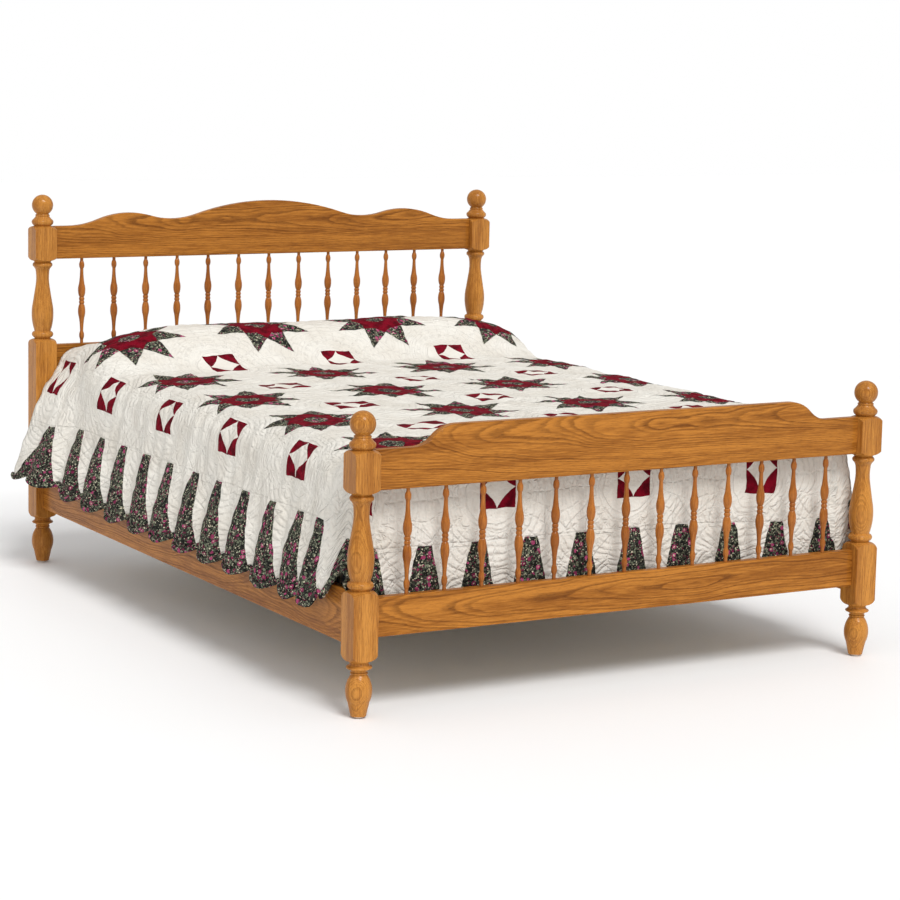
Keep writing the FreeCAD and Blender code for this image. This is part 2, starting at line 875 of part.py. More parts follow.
def make_plates():
    """Hook plates in the rails' ends and slotted plates in the posts."""
    hook_plate = None
    slot_plate = None
    screws = {"hook": [], "slot": []}
    screw = make_screw("plate_screw", S.screw_length)
    for side_x, side in ((-1, "left"), (1, "right")):
        for side_y, end in ((1, "head"), (-1, "foot")):
            hook_name = f"hook_plate_{end}_{side}"
            slot_name = f"slot_plate_{end}_{side}"
            if hook_plate is None:
                hook_plate = start_plate(hook_name, forward=False)
                draw_hooks(hook_plate)
                slot_plate = start_plate(slot_name, forward=True)
                cut_slots(slot_plate)
                hooks = hook_plate
                slots = slot_plate
            else:
                hooks = copy_body(hook_name, hook_plate)
                slots = copy_body(slot_name, slot_plate)
            spin = 0 if side_y > 0 else 180
            for body in (hooks, slots):
                place(body, side_x * rail_x, side_y * rail_half, hook_height_middle, spin)
            for sign in (-1, 1):
                height = hook_height_middle + sign * screw_reach
                point = (side_x * rail_x, side_y * rail_half, height)
                for kind, along in (("hook", -side_y), ("slot", side_y)):
                    copy_name = f"{kind}_screw_{len(screws[kind]) + 1}"
                    screws[kind].append(place_screw(screw, copy_name, point, (0, along, 0)))
    group("hook_plate_screws", screws["hook"])
    group("slot_plate_screws", screws["slot"])


def draw_hooks(body):
    """Two hooks that reach through the slots and drop behind the slotted plate."""
    sketch = new_sketch(body, "hooks", "YZ")
    behind = S.plate_thickness + S.plate_gap
    for sign in (-1, 1):
        middle = sign * S.hook_spacing / 2
        low = middle - S.hook_height / 2
        high = middle + S.hook_height / 2
        draw_loop(sketch, [
            (-S.plate_thickness, low + S.hook_lip),
            (behind, low + S.hook_lip),
            (behind, low),
            (S.hook_depth - S.plate_gap, low),
            (S.hook_depth - S.plate_gap, high),
            (-S.plate_thickness, high),
        ])
    solid("Pad", sketch, S.hook_thickness, both_ways=True)


def cut_slots(body):
    """Two upright slots, where the hooks go in."""
    sketch = new_sketch(body, "slots", "XZ")
    half = S.slot_width / 2
    for sign in (-1, 1):
        middle = sign * S.hook_spacing / 2
        draw_box(sketch, -half, half, middle - S.slot_height / 2, middle + S.slot_height / 2)
    solid("Pocket", sketch, S.plate_thickness)


def make_ledger_screws():
    screw = make_screw("ledger_screw", S.ledger_screw_length)
    head_x = rail_x - S.rail_thickness / 2 - S.ledger_size
    height = ledger_bottom + S.ledger_size / 2
    copies = []
    for side_x in (-1, 1):
        for index in range(int(S.ledger_screw_count.value)):
            along = -ledger_half + S.ledger_screw_end_gap + index * screw_pitch
            name = f"ledger_screw_{len(copies) + 1}"
            point = (side_x * head_x, along, height)
            copies.append(place_screw(screw, name, point, (side_x, 0, 0)))
    group("ledger_screws", copies)


def make_block(name, width, length, height, bottom, corner, edge_radius):
    """A box with rounded corners and softened edges, for the mattress and its base."""
    body = new_body(name)
    place(body, 0, 0, bottom)
    plan = new_sketch(body, "plan", "XY")
    draw_box(plan, -width / 2, width / 2, -length / 2, length / 2)
    solid("Pad", plan, height)
    round_edges(body, corner, lambda edge: is_along(edge, 2))
    round_edges(body, edge_radius, lambda edge: is_flat_on(edge, 2))


def make_bedding():
    make_block("box_spring", S.mattress_width - 2 * S.spring_inset, S.mattress_length,
               S.spring_height, spring_bottom, S.spring_corner, S.spring_edge)
    make_block("mattress", S.mattress_width, S.mattress_length, S.mattress_height,
               mattress_bottom, S.mattress_corner, S.mattress_edge)


def crowned(shape, half, crest):
    """The rounded top of a pillow seen from one side, from its right end to its left."""
    edge_in, edge_up = station(shape, "end_peak")
    crown_in, crown_up = station(shape, "crown_start")
    return [
        Spot(half - crown_in, crown_up, via=(half - edge_in, edge_up)),
        Spot(-(half - crown_in), crown_up, via=(0, crest)),
        Spot(-half, 0, via=(-(half - edge_in), edge_up)),
    ]


def make_pillows():
    """Two crowned pillows on the mattress, under the quilt."""
    first = new_body("pillow_left")
    half = S.pillow_width / 2
    front = new_sketch(first, "front", "XZ")
    draw_loop(front, crowned("pillow_front", half, S.pillow_front_crest) + [(half, 0)])
    solid("Pad", front, S.pillow_length, both_ways=True)
    side_half = S.pillow_length / 2
    over = S.pillow_front_crest + S.cut_margin
    side = new_sketch(first, "side", "YZ")
    draw_loop(side, [(side_half, 0)] + crowned("pillow_side", side_half, S.pillow_side_crest) + [
        (-side_half - S.cut_margin, 0),
        (-side_half - S.cut_margin, over),
        (side_half + S.cut_margin, over),
        (side_half + S.cut_margin, 0),
    ])
    solid("Pocket", side, S.pillow_width + S.cut_margin, both_ways=True)
    second = copy_body("pillow_right", first)
    place(first, -S.pillow_spacing / 2, pillow_y, mattress_top)
    place(second, S.pillow_spacing / 2, pillow_y, mattress_top)


def ease(amount):
    """A smooth step from 0 to 1."""
    amount = min(max(amount, 0.0), 1.0)
    return amount * amount * (3 - 2 * amount)


def edge_arc(outer_x, low, across, up, thickness, side):
    """An upright start at outer_x, rounded over to a point across and up from it."""
    radius = (across * across + up * up) / (2 * across)
    centre_x = outer_x - radius
    sweep = math.atan2(up, radius - across)
    spots = []
    for angle in (0, sweep / 2, sweep):
        x = centre_x + (radius - thickness) * math.cos(angle)
        spots.append((side * x, low + (radius - thickness) * math.sin(angle)))
    return spots


def quilt_section(y, reach, hem, cover, drop):
    """A closed section across the quilt. Cover is 1 on the pillows and 0 off them."""
    thickness = S.quilt_thickness.value
    flat = mattress_top.value + S.quilt_gap.value + thickness
    outer_x = S.mattress_width.value / 2 + S.quilt_side_gap.value + thickness
    rail_out = (rail_x + S.rail_thickness / 2).value
    across = S.mattress_edge.value + thickness + S.quilt_edge_gap.value
    low = flat - across + cover * S.pillow_cover_shoulder.value - drop
    high = flat + cover * S.pillow_cover_edge.value - drop
    crown = flat + S.quilt_flat_rise.value - drop
    crown += cover * (S.pillow_cover_crown - S.quilt_flat_rise).value
    middle = flat + S.quilt_middle_rise.value - drop
    middle += cover * (S.pillow_cover_middle - S.quilt_middle_rise).value
    crown_x = (outer_x - across) / 2

    def side_spots(depth, side):
        rounded = edge_arc(outer_x, low, across, high - low, depth, side)
        return [(side * (rail_out + reach - depth), hem)] + rounded

    def lay(depth):
        left_hem, left_low, left_via, left_high = side_spots(depth, -1)
        right_hem, right_low, right_via, right_high = side_spots(depth, 1)
        centre = (0, middle - depth)
        return [
            (left_hem, None, left_low),
            (left_low, left_via, left_high),
            (left_high, (-crown_x, crown - depth), centre),
            (centre, (crown_x, crown - depth), right_high),
            (right_high, right_via, right_low),
            (right_low, None, right_hem),
        ]

    outside = lay(0)
    inside = [(end, via, start) for start, via, end in reversed(lay(thickness))]
    hems = [(outside[-1][2], None, inside[0][0])], [(inside[-1][2], None, outside[0][0])]
    edges = []
    for start, via, end in outside + hems[0] + inside + hems[1]:
        points = [FreeCAD.Vector(spot[0], y, spot[1]) for spot in (start, via, end) if spot]
        edges.append(Part.Arc(*points).toShape() if via else Part.makeLine(*points))
    return Part.Wire(edges)


def quilt_stations():
    """Where the quilt is sectioned: (y, reach, hem, pillow cover, drop of its top)."""
    start = -quilt_foot.value
    end = quilt_head.value
    ramp_start = (pillow_y - S.pillow_length / 2 - S.pillow_cover_start).value
    fall_start = (pillow_y + S.pillow_length / 2 - S.pillow_cover_back).value

    def cover(y):
        rise = ease((y - ramp_start) / S.pillow_cover_ramp.value)
        return rise * (1 - ease((y - fall_start) / S.pillow_cover_fall.value))

    pitch = fold_pitch.value
    count = int(S.fold_count.value)
    first = end + pitch / 2 - pitch * count
    tuck = (S.tuck_reach.value, S.tuck_hem.value)
    fold = (S.fold_reach.value, S.fold_hem.value)
    valley = (S.valley_reach.value, S.valley_hem.value)
    corner = (S.corner_reach.value, S.fold_hem.value)
    flare = ((S.fold_reach + S.corner_reach).value / 2, S.fold_hem.value)
    drop = S.foot_round.value
    knee = start + drop * S.foot_knee_along.value
    brow = start + drop * S.foot_brow_along.value
    yield (start, *tuck, 0, drop)
    yield (knee, *tuck, 0, drop * S.foot_knee_drop.value)
    yield (brow, *valley, 0, drop * S.foot_brow_drop.value)
    yield (first - pitch / 2, *valley, 0, 0)
    for index in range(count):
        y = first + index * pitch
        yield (y, *fold, cover(y), 0)
        if index < count - 1:
            yield (y + pitch / 2, *valley, cover(y + pitch / 2), 0)
    yield (end - pitch / 4, *flare, cover(end - pitch / 4), 0)
    yield (end, *corner, cover(end), 0)


def make_quilt():
    """The quilt: its top, the folded drops at the sides and the drop at the foot."""
    sections = [quilt_section(*stop) for stop in quilt_stations()]
    blanket = Part.makeLoft(sections, True, False)
    thickness = S.quilt_thickness.value
    half = (board_half - S.foot_drop_inset).value
    bottom = S.foot_hem.value
    top = mattress_top.value + S.quilt_gap.value + thickness - S.foot_round.value
    corner = FreeCAD.Vector(-half, -quilt_foot.value, bottom)
    drop = Part.makeBox(2 * half, thickness, top - thickness / 2 - bottom, corner)
    quilt = doc.addObject("Part::Feature", "quilt")
    quilt.Label = "quilt"
    quilt.Shape = blanket.fuse(drop)
    nodes.append(quilt)
    return quilt


def check_and_write():
    """Stops on anything failed or empty, then writes one file for each node."""
    doc.recompute()
    for item in doc.Objects:
        if "Invalid" in item.State or "Error" in item.State:
            raise RuntimeError(f"{item.Label} is {item.State}")
        if item.TypeId in ("PartDesign::Pocket", "PartDesign::Groove"):
            removed = item.BaseFeature.Shape.Volume - item.Shape.Volume
            if removed < 1:
                raise RuntimeError(f"{item.Label} cuts nothing")
    os.makedirs("parts", exist_ok=True)
    for node in nodes:
        if node.Shape.isNull() or not node.Shape.isValid():
            raise RuntimeError(f"{node.Label} has no valid shape")
        node.Shape.exportStep(os.path.join("parts", f"{node.Label}.step"))
        print(node.Label, round(node.Shape.Volume), len(node.Shape.Solids))


make_posts()
make_glides()
make_boards()
make_spindles()
make_side_rails()
make_ledgers()
make_slats()
make_plates()
make_ledger_screws()
make_bedding()
make_pillows()
make_quilt()
check_and_write()
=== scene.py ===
"""The looks of the oak spindle bed: its wood, quilt, pillows, mattress and box spring."""
import math

import bmesh
import bpy
import numpy as np
from mathutils import Matrix, Vector


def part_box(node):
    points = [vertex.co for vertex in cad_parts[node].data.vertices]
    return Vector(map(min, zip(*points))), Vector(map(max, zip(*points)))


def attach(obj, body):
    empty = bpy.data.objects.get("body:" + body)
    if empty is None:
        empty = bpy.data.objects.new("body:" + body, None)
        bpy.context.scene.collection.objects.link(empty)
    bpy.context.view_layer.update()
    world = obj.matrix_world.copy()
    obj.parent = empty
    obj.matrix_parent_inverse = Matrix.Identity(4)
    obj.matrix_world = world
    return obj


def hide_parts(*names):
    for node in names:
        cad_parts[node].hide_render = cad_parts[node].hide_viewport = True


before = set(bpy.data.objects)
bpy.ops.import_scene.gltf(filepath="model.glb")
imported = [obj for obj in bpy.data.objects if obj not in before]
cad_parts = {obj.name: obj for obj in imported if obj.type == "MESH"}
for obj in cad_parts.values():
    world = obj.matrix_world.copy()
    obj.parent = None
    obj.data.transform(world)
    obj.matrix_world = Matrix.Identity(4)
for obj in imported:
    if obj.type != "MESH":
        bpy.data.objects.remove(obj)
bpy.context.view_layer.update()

# Camera, fitted to the posts and rails of the photograph
CAMERA_PLACE = Vector((-3.858, -6.855, 1.719))
CAMERA_YAW = math.radians(31.146)
CAMERA_PITCH = math.radians(7.933)
CAMERA_ROLL = math.radians(1.381)
PICTURE = 900
FOCAL_PIXELS = 2673.8
PRINCIPAL = (509.0, 401.5)
SENSOR = 36.0

TINY = 1e-9


# ---- nodes written as sums
def works(operation):
    """A method that feeds a term, and what it works with, to a maths node."""
    return lambda *values: do(operation, *values)


class Term:
    """A value in a node tree, which takes part in sums written as code."""

    def __init__(self, socket):
        self.tree = socket.id_data
        self.socket = socket

    def __rsub__(self, other):
        return do("SUBTRACT", other, self)

    __add__ = works("ADD")
    __sub__ = works("SUBTRACT")
    __mul__ = works("MULTIPLY")
    __truediv__ = works("DIVIDE")
    __pow__ = works("POWER")
    __gt__ = works("GREATER_THAN")
    __lt__ = works("LESS_THAN")
    size = works("ABSOLUTE")
    root = works("SQRT")
    least = works("MINIMUM")
    most = works("MAXIMUM")


def tree_of(*values):
    """The node tree of the first term among some values."""
    return next(value.tree for value in values if isinstance(value, Term))


def feed(value, slot):
    """Links a term to an input, or sets the input to a plain value."""
    if isinstance(value, Term):
        value.tree.links.new(value.socket, slot)
    else:
        slot.default_value = value


def fed_node(kind, *values, **settings):
    """The outputs of a new node with settings, fed with values in the order of its inputs."""
    node = tree_of(*values).nodes.new(kind)
    for name, value in settings.items():
        setattr(node, name, value)
    for value, slot in zip(values, node.inputs):
        feed(value, slot)
    return [Term(output) for output in node.outputs]


def do(operation, *values):
    """The result of a maths node that is fed with some values."""
    return fed_node("ShaderNodeMath", *values, operation=operation)[0]


def add_node(tree, kind, output, **inputs):
    """Adds a node and returns one of its outputs as a term."""
    node = tree.nodes.new(kind)
    for name, value in inputs.items():
        feed(value, node.inputs[name.replace("_", " ")])
    return Term(node.outputs[output])


def noise(vector, scale, detail=2.0, output="Fac"):
    """Cloudy noise, as a value or as a colour."""
    return add_node(vector.tree, "ShaderNodeTexNoise", output, Vector=vector, Scale=scale,
                    Detail=detail)


def cells(vector, scale, output="Distance"):
    """Cells of mixed shape: the distance from each one's middle, or its own colour."""
    return add_node(vector.tree, "ShaderNodeTexVoronoi", output, Vector=vector, Scale=scale)


def blend(share, first, second):
    """Mixes two colours."""
    node = share.tree.nodes.new("ShaderNodeMix")
    node.data_type = "RGBA"
    feed(share, node.inputs[0])
    for colour, slot in ((first, node.inputs[6]), (second, node.inputs[7])):
        feed(colour if isinstance(colour, Term) else (*colour, 1), slot)
    return Term(node.outputs[2])


def step(value, low, high):
    """0 below low, 1 above high, and smooth between."""
    return fed_node("ShaderNodeMapRange", value, low, high, interpolation_type="SMOOTHSTEP")[0]


def split(vector):
    """The three parts of a vector or a colour."""
    return fed_node("ShaderNodeSeparateXYZ", vector)


def join(x, y, z):
    """A vector from its three parts."""
    return fed_node("ShaderNodeCombineXYZ", x, y, z)[0]


def shift(vector, scale, amount, detail=2):
    """A vector moved by a noise colour, to bend a pattern's lines."""
    moves = noise(vector, scale, detail, "Color")
    return fed_node("ShaderNodeVectorMath", moves, [amount] * 3, vector, operation="MULTIPLY_ADD")[0]


def repeat(value, middle, pitch):
    """Distance from the nearest of a row of places, with its sign."""
    return (do("FRACT", (value - middle) / pitch + 0.5) - 0.5) * pitch


def new_group(name, inputs, outputs):
    """A node group with its named inputs as terms. Numbers give an input's default."""
    tree = bpy.data.node_groups.new(name, "ShaderNodeTree")
    for title, value in inputs.items():
        kind = "NodeSocketVector" if value is None else "NodeSocketFloat"
        socket = tree.interface.new_socket(title, in_out="INPUT", socket_type=kind)
        if value is not None:
            socket.default_value = value
    for title, kind in outputs.items():
        tree.interface.new_socket(title, in_out="OUTPUT", socket_type=f"NodeSocket{kind}")
    source = tree.nodes.new("NodeGroupInput")
    return tree, {title: Term(source.outputs[title]) for title in inputs}


def close_group(tree, **results):
    """Puts out a group's named results."""
    sink = tree.nodes.new("NodeGroupOutput")
    for title, value in results.items():
        feed(value, sink.inputs[title])
    return tree


def use_group(group, **inputs):
    """Places a group in the tree of its inputs and returns its outputs by name."""
    node = tree_of(*inputs.values()).nodes.new("ShaderNodeGroup")
    node.node_tree = group
    for name, value in inputs.items():
        feed(value, node.inputs[name])
    return {output.name: Term(output) for output in node.outputs}


def new_material(name, **values):
    """A material and its shader, with plain values set on the shader's own sockets."""
    material = bpy.data.materials.new(name)
    material.use_nodes = True
    shader = material.node_tree.nodes["Principled BSDF"]
    for title, value in values.items():
        shader.inputs[title.replace("_", " ")].default_value = value
    return material, shader


def place_on(material, kind="Object"):
    """Where a point of the surface lies, in the object or on its flat cloth."""
    return add_node(material.node_tree, "ShaderNodeTexCoord", kind)


def set_surface(shader, colour, height, distance, strength):
    """Gives a shader its colour, and a relief from a height."""
    feed(colour, shader.inputs["Base Color"])
    bump = add_node(height.tree, "ShaderNodeBump", "Normal", Strength=strength, Distance=distance,
                    Height=height)
    feed(bump, shader.inputs["Normal"])


def srgb(*levels):
    """A colour from its levels of 0 to 255, as on a screen."""
    return tuple((level / 255) ** 2.2 for level in levels)


def cover(piece, material):
    """Gives a piece its only material."""
    piece.data.materials.clear()
    piece.data.materials.append(material)


def cover_nodes(material, *words):
    """Gives a material to the CAD nodes that have one of some words in their names."""
    for name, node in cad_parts.items():
        if any(word in name for word in words):
            cover(node, material)


# ---- wood
OAK = {"light": srgb(188, 122, 52), "dark": srgb(148, 91, 36), "ring": srgb(92, 49, 13),
       "pore": srgb(78, 42, 12)}
OAK_TURNED = {**OAK, "light": srgb(202, 137, 64), "dark": srgb(166, 106, 46)}
OAK_SPINDLE = {**OAK, "light": srgb(184, 114, 52), "dark": srgb(150, 87, 38)}
PINE = {"light": srgb(222, 190, 138), "dark": srgb(205, 167, 110), "ring": srgb(172, 120, 66),
        "pore": srgb(176, 130, 84)}

# How much the rings sway, the weight of the clear coat, and how dark the ring lines are
BOARD = {"colours": OAK, "sway": 1.0, "coat": 0.14, "lines": 0.62}
POST = {"colours": OAK_TURNED, "sway": 0.5, "coat": 0.25, "lines": 0.36}
SPINDLE = {"colours": OAK_SPINDLE, "sway": 1.0, "coat": 0.3, "lines": 0.34}
LATH = {"colours": PINE, "sway": 1.0, "coat": 0.0, "lines": 0.62}

# The axes along, across and into each piece, its heart, its width of ring and its lean
OAK_PIECES = [
    ("foot_top_rail", "XZY", (0.15, 0.70, -1.035), 0.0042, 0.05),
    ("foot_bottom_rail", "XZY", (-0.35, 0.262, -1.05), 0.0060, 0.07),
    ("head_top_rail", "XZY", (-0.25, 1.085, 1.125), 0.0048, 0.04),
    ("head_lower_rail", "XZY", (0.2, 0.61, 1.13), 0.0045, 0.03),
    ("side_rail_left", "YZX", (0.3, 0.25, -0.755), 0.0050, 0.03),
    ("side_rail_right", "YZX", (-0.4, 0.25, 0.755), 0.0050, 0.04),
    ("foot_post_left", "ZXY", (0.1, -0.70, -0.99), 0.0027, 0.03),
    ("foot_post_right", "ZXY", (0.3, 0.88, -0.99), 0.0027, -0.02),
    ("head_post_left", "ZXY", (0.6, -0.70, 0.99), 0.0027, 0.02),
    ("head_post_right", "ZXY", (0.2, 0.88, 0.99), 0.0027, 0.03),
]
PINE_PIECES = [
    ("slat", "XYZ", (0.2, 0.1, 0.12), ("slat",)),
    ("ledger", "YZX", (0.1, 0.2, 0.3), ("ledger_left", "ledger_right")),
]
SPINDLE_RING = 0.0028
PINE_RING = 0.0065
PINE_LEAN = 0.02


def grain_group():
    """Masks of growth rings round a heart that leans out of the board, and of its pores."""
    group, given = new_group(
        "wood_grain",
        {"Along": 0.0, "Across": 0.0, "Deep": 0.0, "Ring": 0.0045, "Lean": 0.03, "Sway": 1.0},
        {"Tone": "Float", "Line": "Float", "Pore": "Float", "Height": "Float"})
    along, across, deep = given["Along"], given["Across"], given["Deep"]

    def figure(lengthwise, crosswise, detail, output="Fac"):
        """Noise that is drawn out along the grain."""
        place = join(along * lengthwise, across * crosswise, deep * crosswise)
        return noise(place, 1.0, detail, output)

    sway_deep, sway_across, _ = split(figure(2.1, 4, 2, "Color"))
    depth = deep + along * given["Lean"] + (sway_deep - 0.5) * 0.08 * given["Sway"]
    width = across + (sway_across - 0.5) * 0.05 * given["Sway"]
    distance = (depth * depth + width * width).root()
    ring = distance / given["Ring"] + (figure(18, 160, 2) - 0.5) * 0.5
    phase = do("FRACT", ring)
    strength = noise(join(do("FLOOR", ring) * 0.73, 0.0, 0.0), 1.0, 0)
    line = step(phase, 0.0, 0.16) * (1 - step(phase, 0.2, 0.8)) * step(strength, 0.3, 0.68)
    pore = step(figure(60, 1300, 1), 0.55, 0.66) * (line * 0.6 + 0.4)
    tone = step(figure(1.5, 30, 3) * 0.55 + figure(16, 240, 3) * 0.45, 0.38, 0.62)
    height = 1.0 - pore * 0.9 - line * 0.3
    return close_group(group, Tone=tone, Line=line, Pore=pore, Height=height)


def make_wood(name, grain, finish, axes, heart, ring, lean):
    """Wood whose grain runs along the first of three axes, with its heart at a point."""
    material, shader = new_material(name, Coat_Weight=finish["coat"], Coat_Roughness=0.12,
                                    Specular_IOR_Level=0.07)
    place = split(place_on(material))
    along, across, deep = (place["XYZ".index(axis)] - offset for axis, offset in zip(axes, heart))
    masks = use_group(grain, Along=along, Across=across, Deep=deep, Ring=ring, Lean=lean,
                      Sway=finish["sway"])
    colours = finish["colours"]
    colour = blend(masks["Tone"], colours["dark"], colours["light"])
    colour = blend(masks["Line"] * finish["lines"], colour, colours["ring"])
    colour = blend(masks["Pore"] * 0.7, colour, colours["pore"])
    feed(masks["Pore"] * 0.25 + masks["Line"] * 0.08 + 0.34, shader.inputs["Roughness"])
    set_surface(shader, colour, masks["Height"], distance=0.0004, strength=0.6)
    return material


def finish_wood():
    """Oak for the posts, boards and spindles, and pine for the slats and ledgers."""
    grain = grain_group()
    for name, axes, heart, ring, lean in OAK_PIECES:
        finish = POST if "post" in name else BOARD
        cover_nodes(make_wood(f"oak_{name}", grain, finish, axes, heart, ring, lean), name)
    for end, y in (("head", 1.03), ("foot", -1.13)):
        oak = make_wood(f"oak_{end}_spindles", grain, SPINDLE, "ZXY", (0.0, 0.9, y), SPINDLE_RING, 0.0)
        cover_nodes(oak, f"{end}_spindle")
    for name, axes, heart, words in PINE_PIECES:
        pine = make_wood(f"pine_{name}", grain, LATH, axes, heart, PINE_RING, PINE_LEAN)
        cover_nodes(pine, *words)


# ---- metal
def make_metal(name, bright, dull, rough, spangle):
    """Plated metal with a crystal pattern, faint scratches and duller patches."""
    material, shader = new_material(name, Metallic=1.0)
    place = place_on(material)
    x, y, z = split(place)
    scratch = noise(join(x * 900.0, y * 60.0, z * 900.0), 1.0, 2)
    crystal = split(cells(place, spangle, "Color"))[0]
    share = step(crystal * 0.5 + noise(place, 70.0, 3) * 0.5, 0.3, 0.75)
    feed((1 - share) * 0.2 + scratch * 0.12 + rough, shader.inputs["Roughness"])
    set_surface(shader, blend(share, dull, bright), scratch + crystal * 0.3, distance=0.0001,
                strength=0.5)
    return material


def finish_metal():
    """Zinc for the plates and screws, and nickel for the glides."""
    zinc = make_metal("zinc_steel", (0.66, 0.68, 0.7), (0.46, 0.48, 0.5), rough=0.26, spangle=260.0)
    nickel = make_metal("nickel", (0.76, 0.73, 0.68), (0.6, 0.57, 0.52), rough=0.14, spangle=900.0)
    cover_nodes(zinc, "plate", "screws")
    cover_nodes(nickel, "foot_glides")


# ---- cloth
CREAM = srgb(233, 229, 220)
CREAM_SHADE = srgb(222, 216, 205)
BURGUNDY = srgb(122, 10, 34)
BURGUNDY_DARK = srgb(86, 6, 24)
CALICO = {"ground": srgb(36, 36, 34), "soft": srgb(74, 74, 66), "leaf": srgb(116, 122, 102),
          "cream": srgb(206, 198, 172), "pink": srgb(178, 78, 118), "mauve": srgb(112, 40, 68)}

# Spots of the print: cells to a metre, reach in a cell, share left out, and colour
SPOTS = [
    (120.0, 0.45, 0.45, "leaf"), (150.0, 0.45, 0.5, "ground"), (190.0, 0.38, 0.74, "cream"),
    (150.0, 0.4, 0.8, "mauve"), (230.0, 0.4, 0.84, "leaf"),
]
BLOOM_SCALE = 58.0
BLOOM_LEFT_OUT = 0.66

# The pattern on the flat cloth, in metres: eight-pointed stars between small squares
STAR_PITCH_ACROSS = 0.42
STAR_PITCH_ALONG = 0.4265
STAR_MIDDLE = 0.045
SQUARE_ROW = 0.1435
STAR_SIDE = 0.092
STARS_BESIDE = 2
STARS_TO_FOOT = 3
STARS_TO_HEAD = 2
TIP_FROM = 0.42
CORE_NOTCH = 0.36
CORE_TIP = 0.2
EIGHTH = math.pi / 4
SQUARE_HALF = 0.0525
SQUARE_BOW = 0.78
SQUARES_BESIDE = 0.95
SQUARES_FOOT = -1.25
SQUARES_HEAD = 1.05

# The border of wedges round the sides and the foot, wider in the last one at the head
BORDER_DEPTH = 0.235
FOOT_BORDER = -1.273
WEDGE_PITCH = 0.1665
WEDGE_FIRST = 0.9
WEDGE_FOOT_MIDDLE = 0.057
WEDGE_TOP = 0.021
WEDGE_SPREAD = 0.047
WEDGE_BOW = 0.85
LAST_TOP = 0.024
LAST_SPREAD = 0.15
LAST_OVERLAP = 0.01

# The quilting: cables of rings down the sides, and wreaths with echo lines on top
CABLE_MIDDLE = 0.80
CABLE_PITCH = 0.11
CABLE_RINGS = (0.062, 0.043)
CABLE_HALF = 0.07
WREATH_RADIUS = 0.105
WREATH_PETAL = 0.018
WREATH_TURNS = 12.0
SPINE_RADIUS = 0.098
ECHO_PITCH = 0.021
ECHO_INSIDE = 0.08
GROOVE = 0.008
BEND = 0.008


def weave_group():
    """Plain weave: threads over and under, as a height."""
    group, given = new_group("weave", {"Vector": None, "Threads": 1500.0}, {"Height": "Float"})
    x, y, z = (do("SINE", part * given["Threads"]) for part in split(given["Vector"]))
    return close_group(group, Height=(x * y + z * 0.5) * 0.5)


def calico_group():
    """A dark cotton print crowded with small flowers, buds and leaves."""
    group, given = new_group("calico", {"Vector": None}, {"Color": "Color"})
    bent = shift(given["Vector"], 130.0, 0.009, detail=1)
    colour = blend(step(noise(bent, 120.0), 0.42, 0.66), CALICO["ground"], CALICO["soft"])
    for scale, reach, left_out, tint in SPOTS:
        spot = cells(bent, scale) < reach
        chosen = split(cells(bent, scale, "Color"))[0] > left_out
        colour = blend(spot * chosen, colour, CALICO[tint])
    bloom = cells(bent, BLOOM_SCALE)
    kind, pick, _ = split(cells(bent, BLOOM_SCALE, "Color"))
    chosen = kind > BLOOM_LEFT_OUT
    petals = blend(pick, CALICO["pink"], CALICO["mauve"])
    colour = blend((bloom < 0.4) * chosen, colour, petals)
    colour = blend((bloom < 0.14) * chosen, colour, CALICO["cream"])
    return close_group(group, Color=colour)


def stars(u, v):
    """Masks of the whole stars and of their printed parts, and the distance from their edges."""
    x = repeat(u, STAR_MIDDLE + STAR_PITCH_ACROSS / 2, STAR_PITCH_ACROSS)
    y = repeat(v, SQUARE_ROW + STAR_PITCH_ALONG / 2, STAR_PITCH_ALONG)
    bent = (do("FLOORED_MODULO", do("ARCTAN2", y, x), EIGHTH) - EIGHTH / 2).size()
    radius = (x * x + y * y).root() / STAR_SIDE
    along = radius * do("COSINE", bent) * (0.5 / math.cos(EIGHTH / 2))
    beside = radius * do("SINE", bent) * (0.5 / math.sin(EIGHTH / 2))
    a = along + beside
    b = along - beside
    tips = (a - 1.0) * TIP_FROM + b * (1 - TIP_FROM) > 0
    core = (a - CORE_NOTCH) * CORE_TIP + b * (CORE_NOTCH - CORE_TIP) < 0
    inside = (u - STAR_MIDDLE).size() < STARS_BESIDE * STAR_PITCH_ACROSS
    inside = inside * (v > SQUARE_ROW - STARS_TO_FOOT * STAR_PITCH_ALONG)
    inside = inside * (v < SQUARE_ROW + STARS_TO_HEAD * STAR_PITCH_ALONG)
    return (a < 1) * inside, tips.most(core), (a - 1.0).size()


def squares(u, v):
    """The small dark squares between the stars, less the pale figure in each."""
    x = repeat(u, STAR_MIDDLE, STAR_PITCH_ACROSS).size() / SQUARE_HALF
    y = repeat(v, SQUARE_ROW, STAR_PITCH_ALONG).size() / SQUARE_HALF
    figure = x ** SQUARE_BOW + y ** SQUARE_BOW > 1
    limit = (u.size() < SQUARES_BESIDE) * (v > SQUARES_FOOT) * (v < SQUARES_HEAD)
    return (x.most(y) < 1) * figure * limit


def wedge_row(depth, place, middle):
    """One side's wedges, narrow at the seam and wide at the hem, and the share of its depth."""
    share = depth / BORDER_DEPTH
    width = share.most(0.0) ** WEDGE_BOW * WEDGE_SPREAD + WEDGE_TOP
    return (repeat(place, middle, WEDGE_PITCH).size() < width) * (share > 0), share


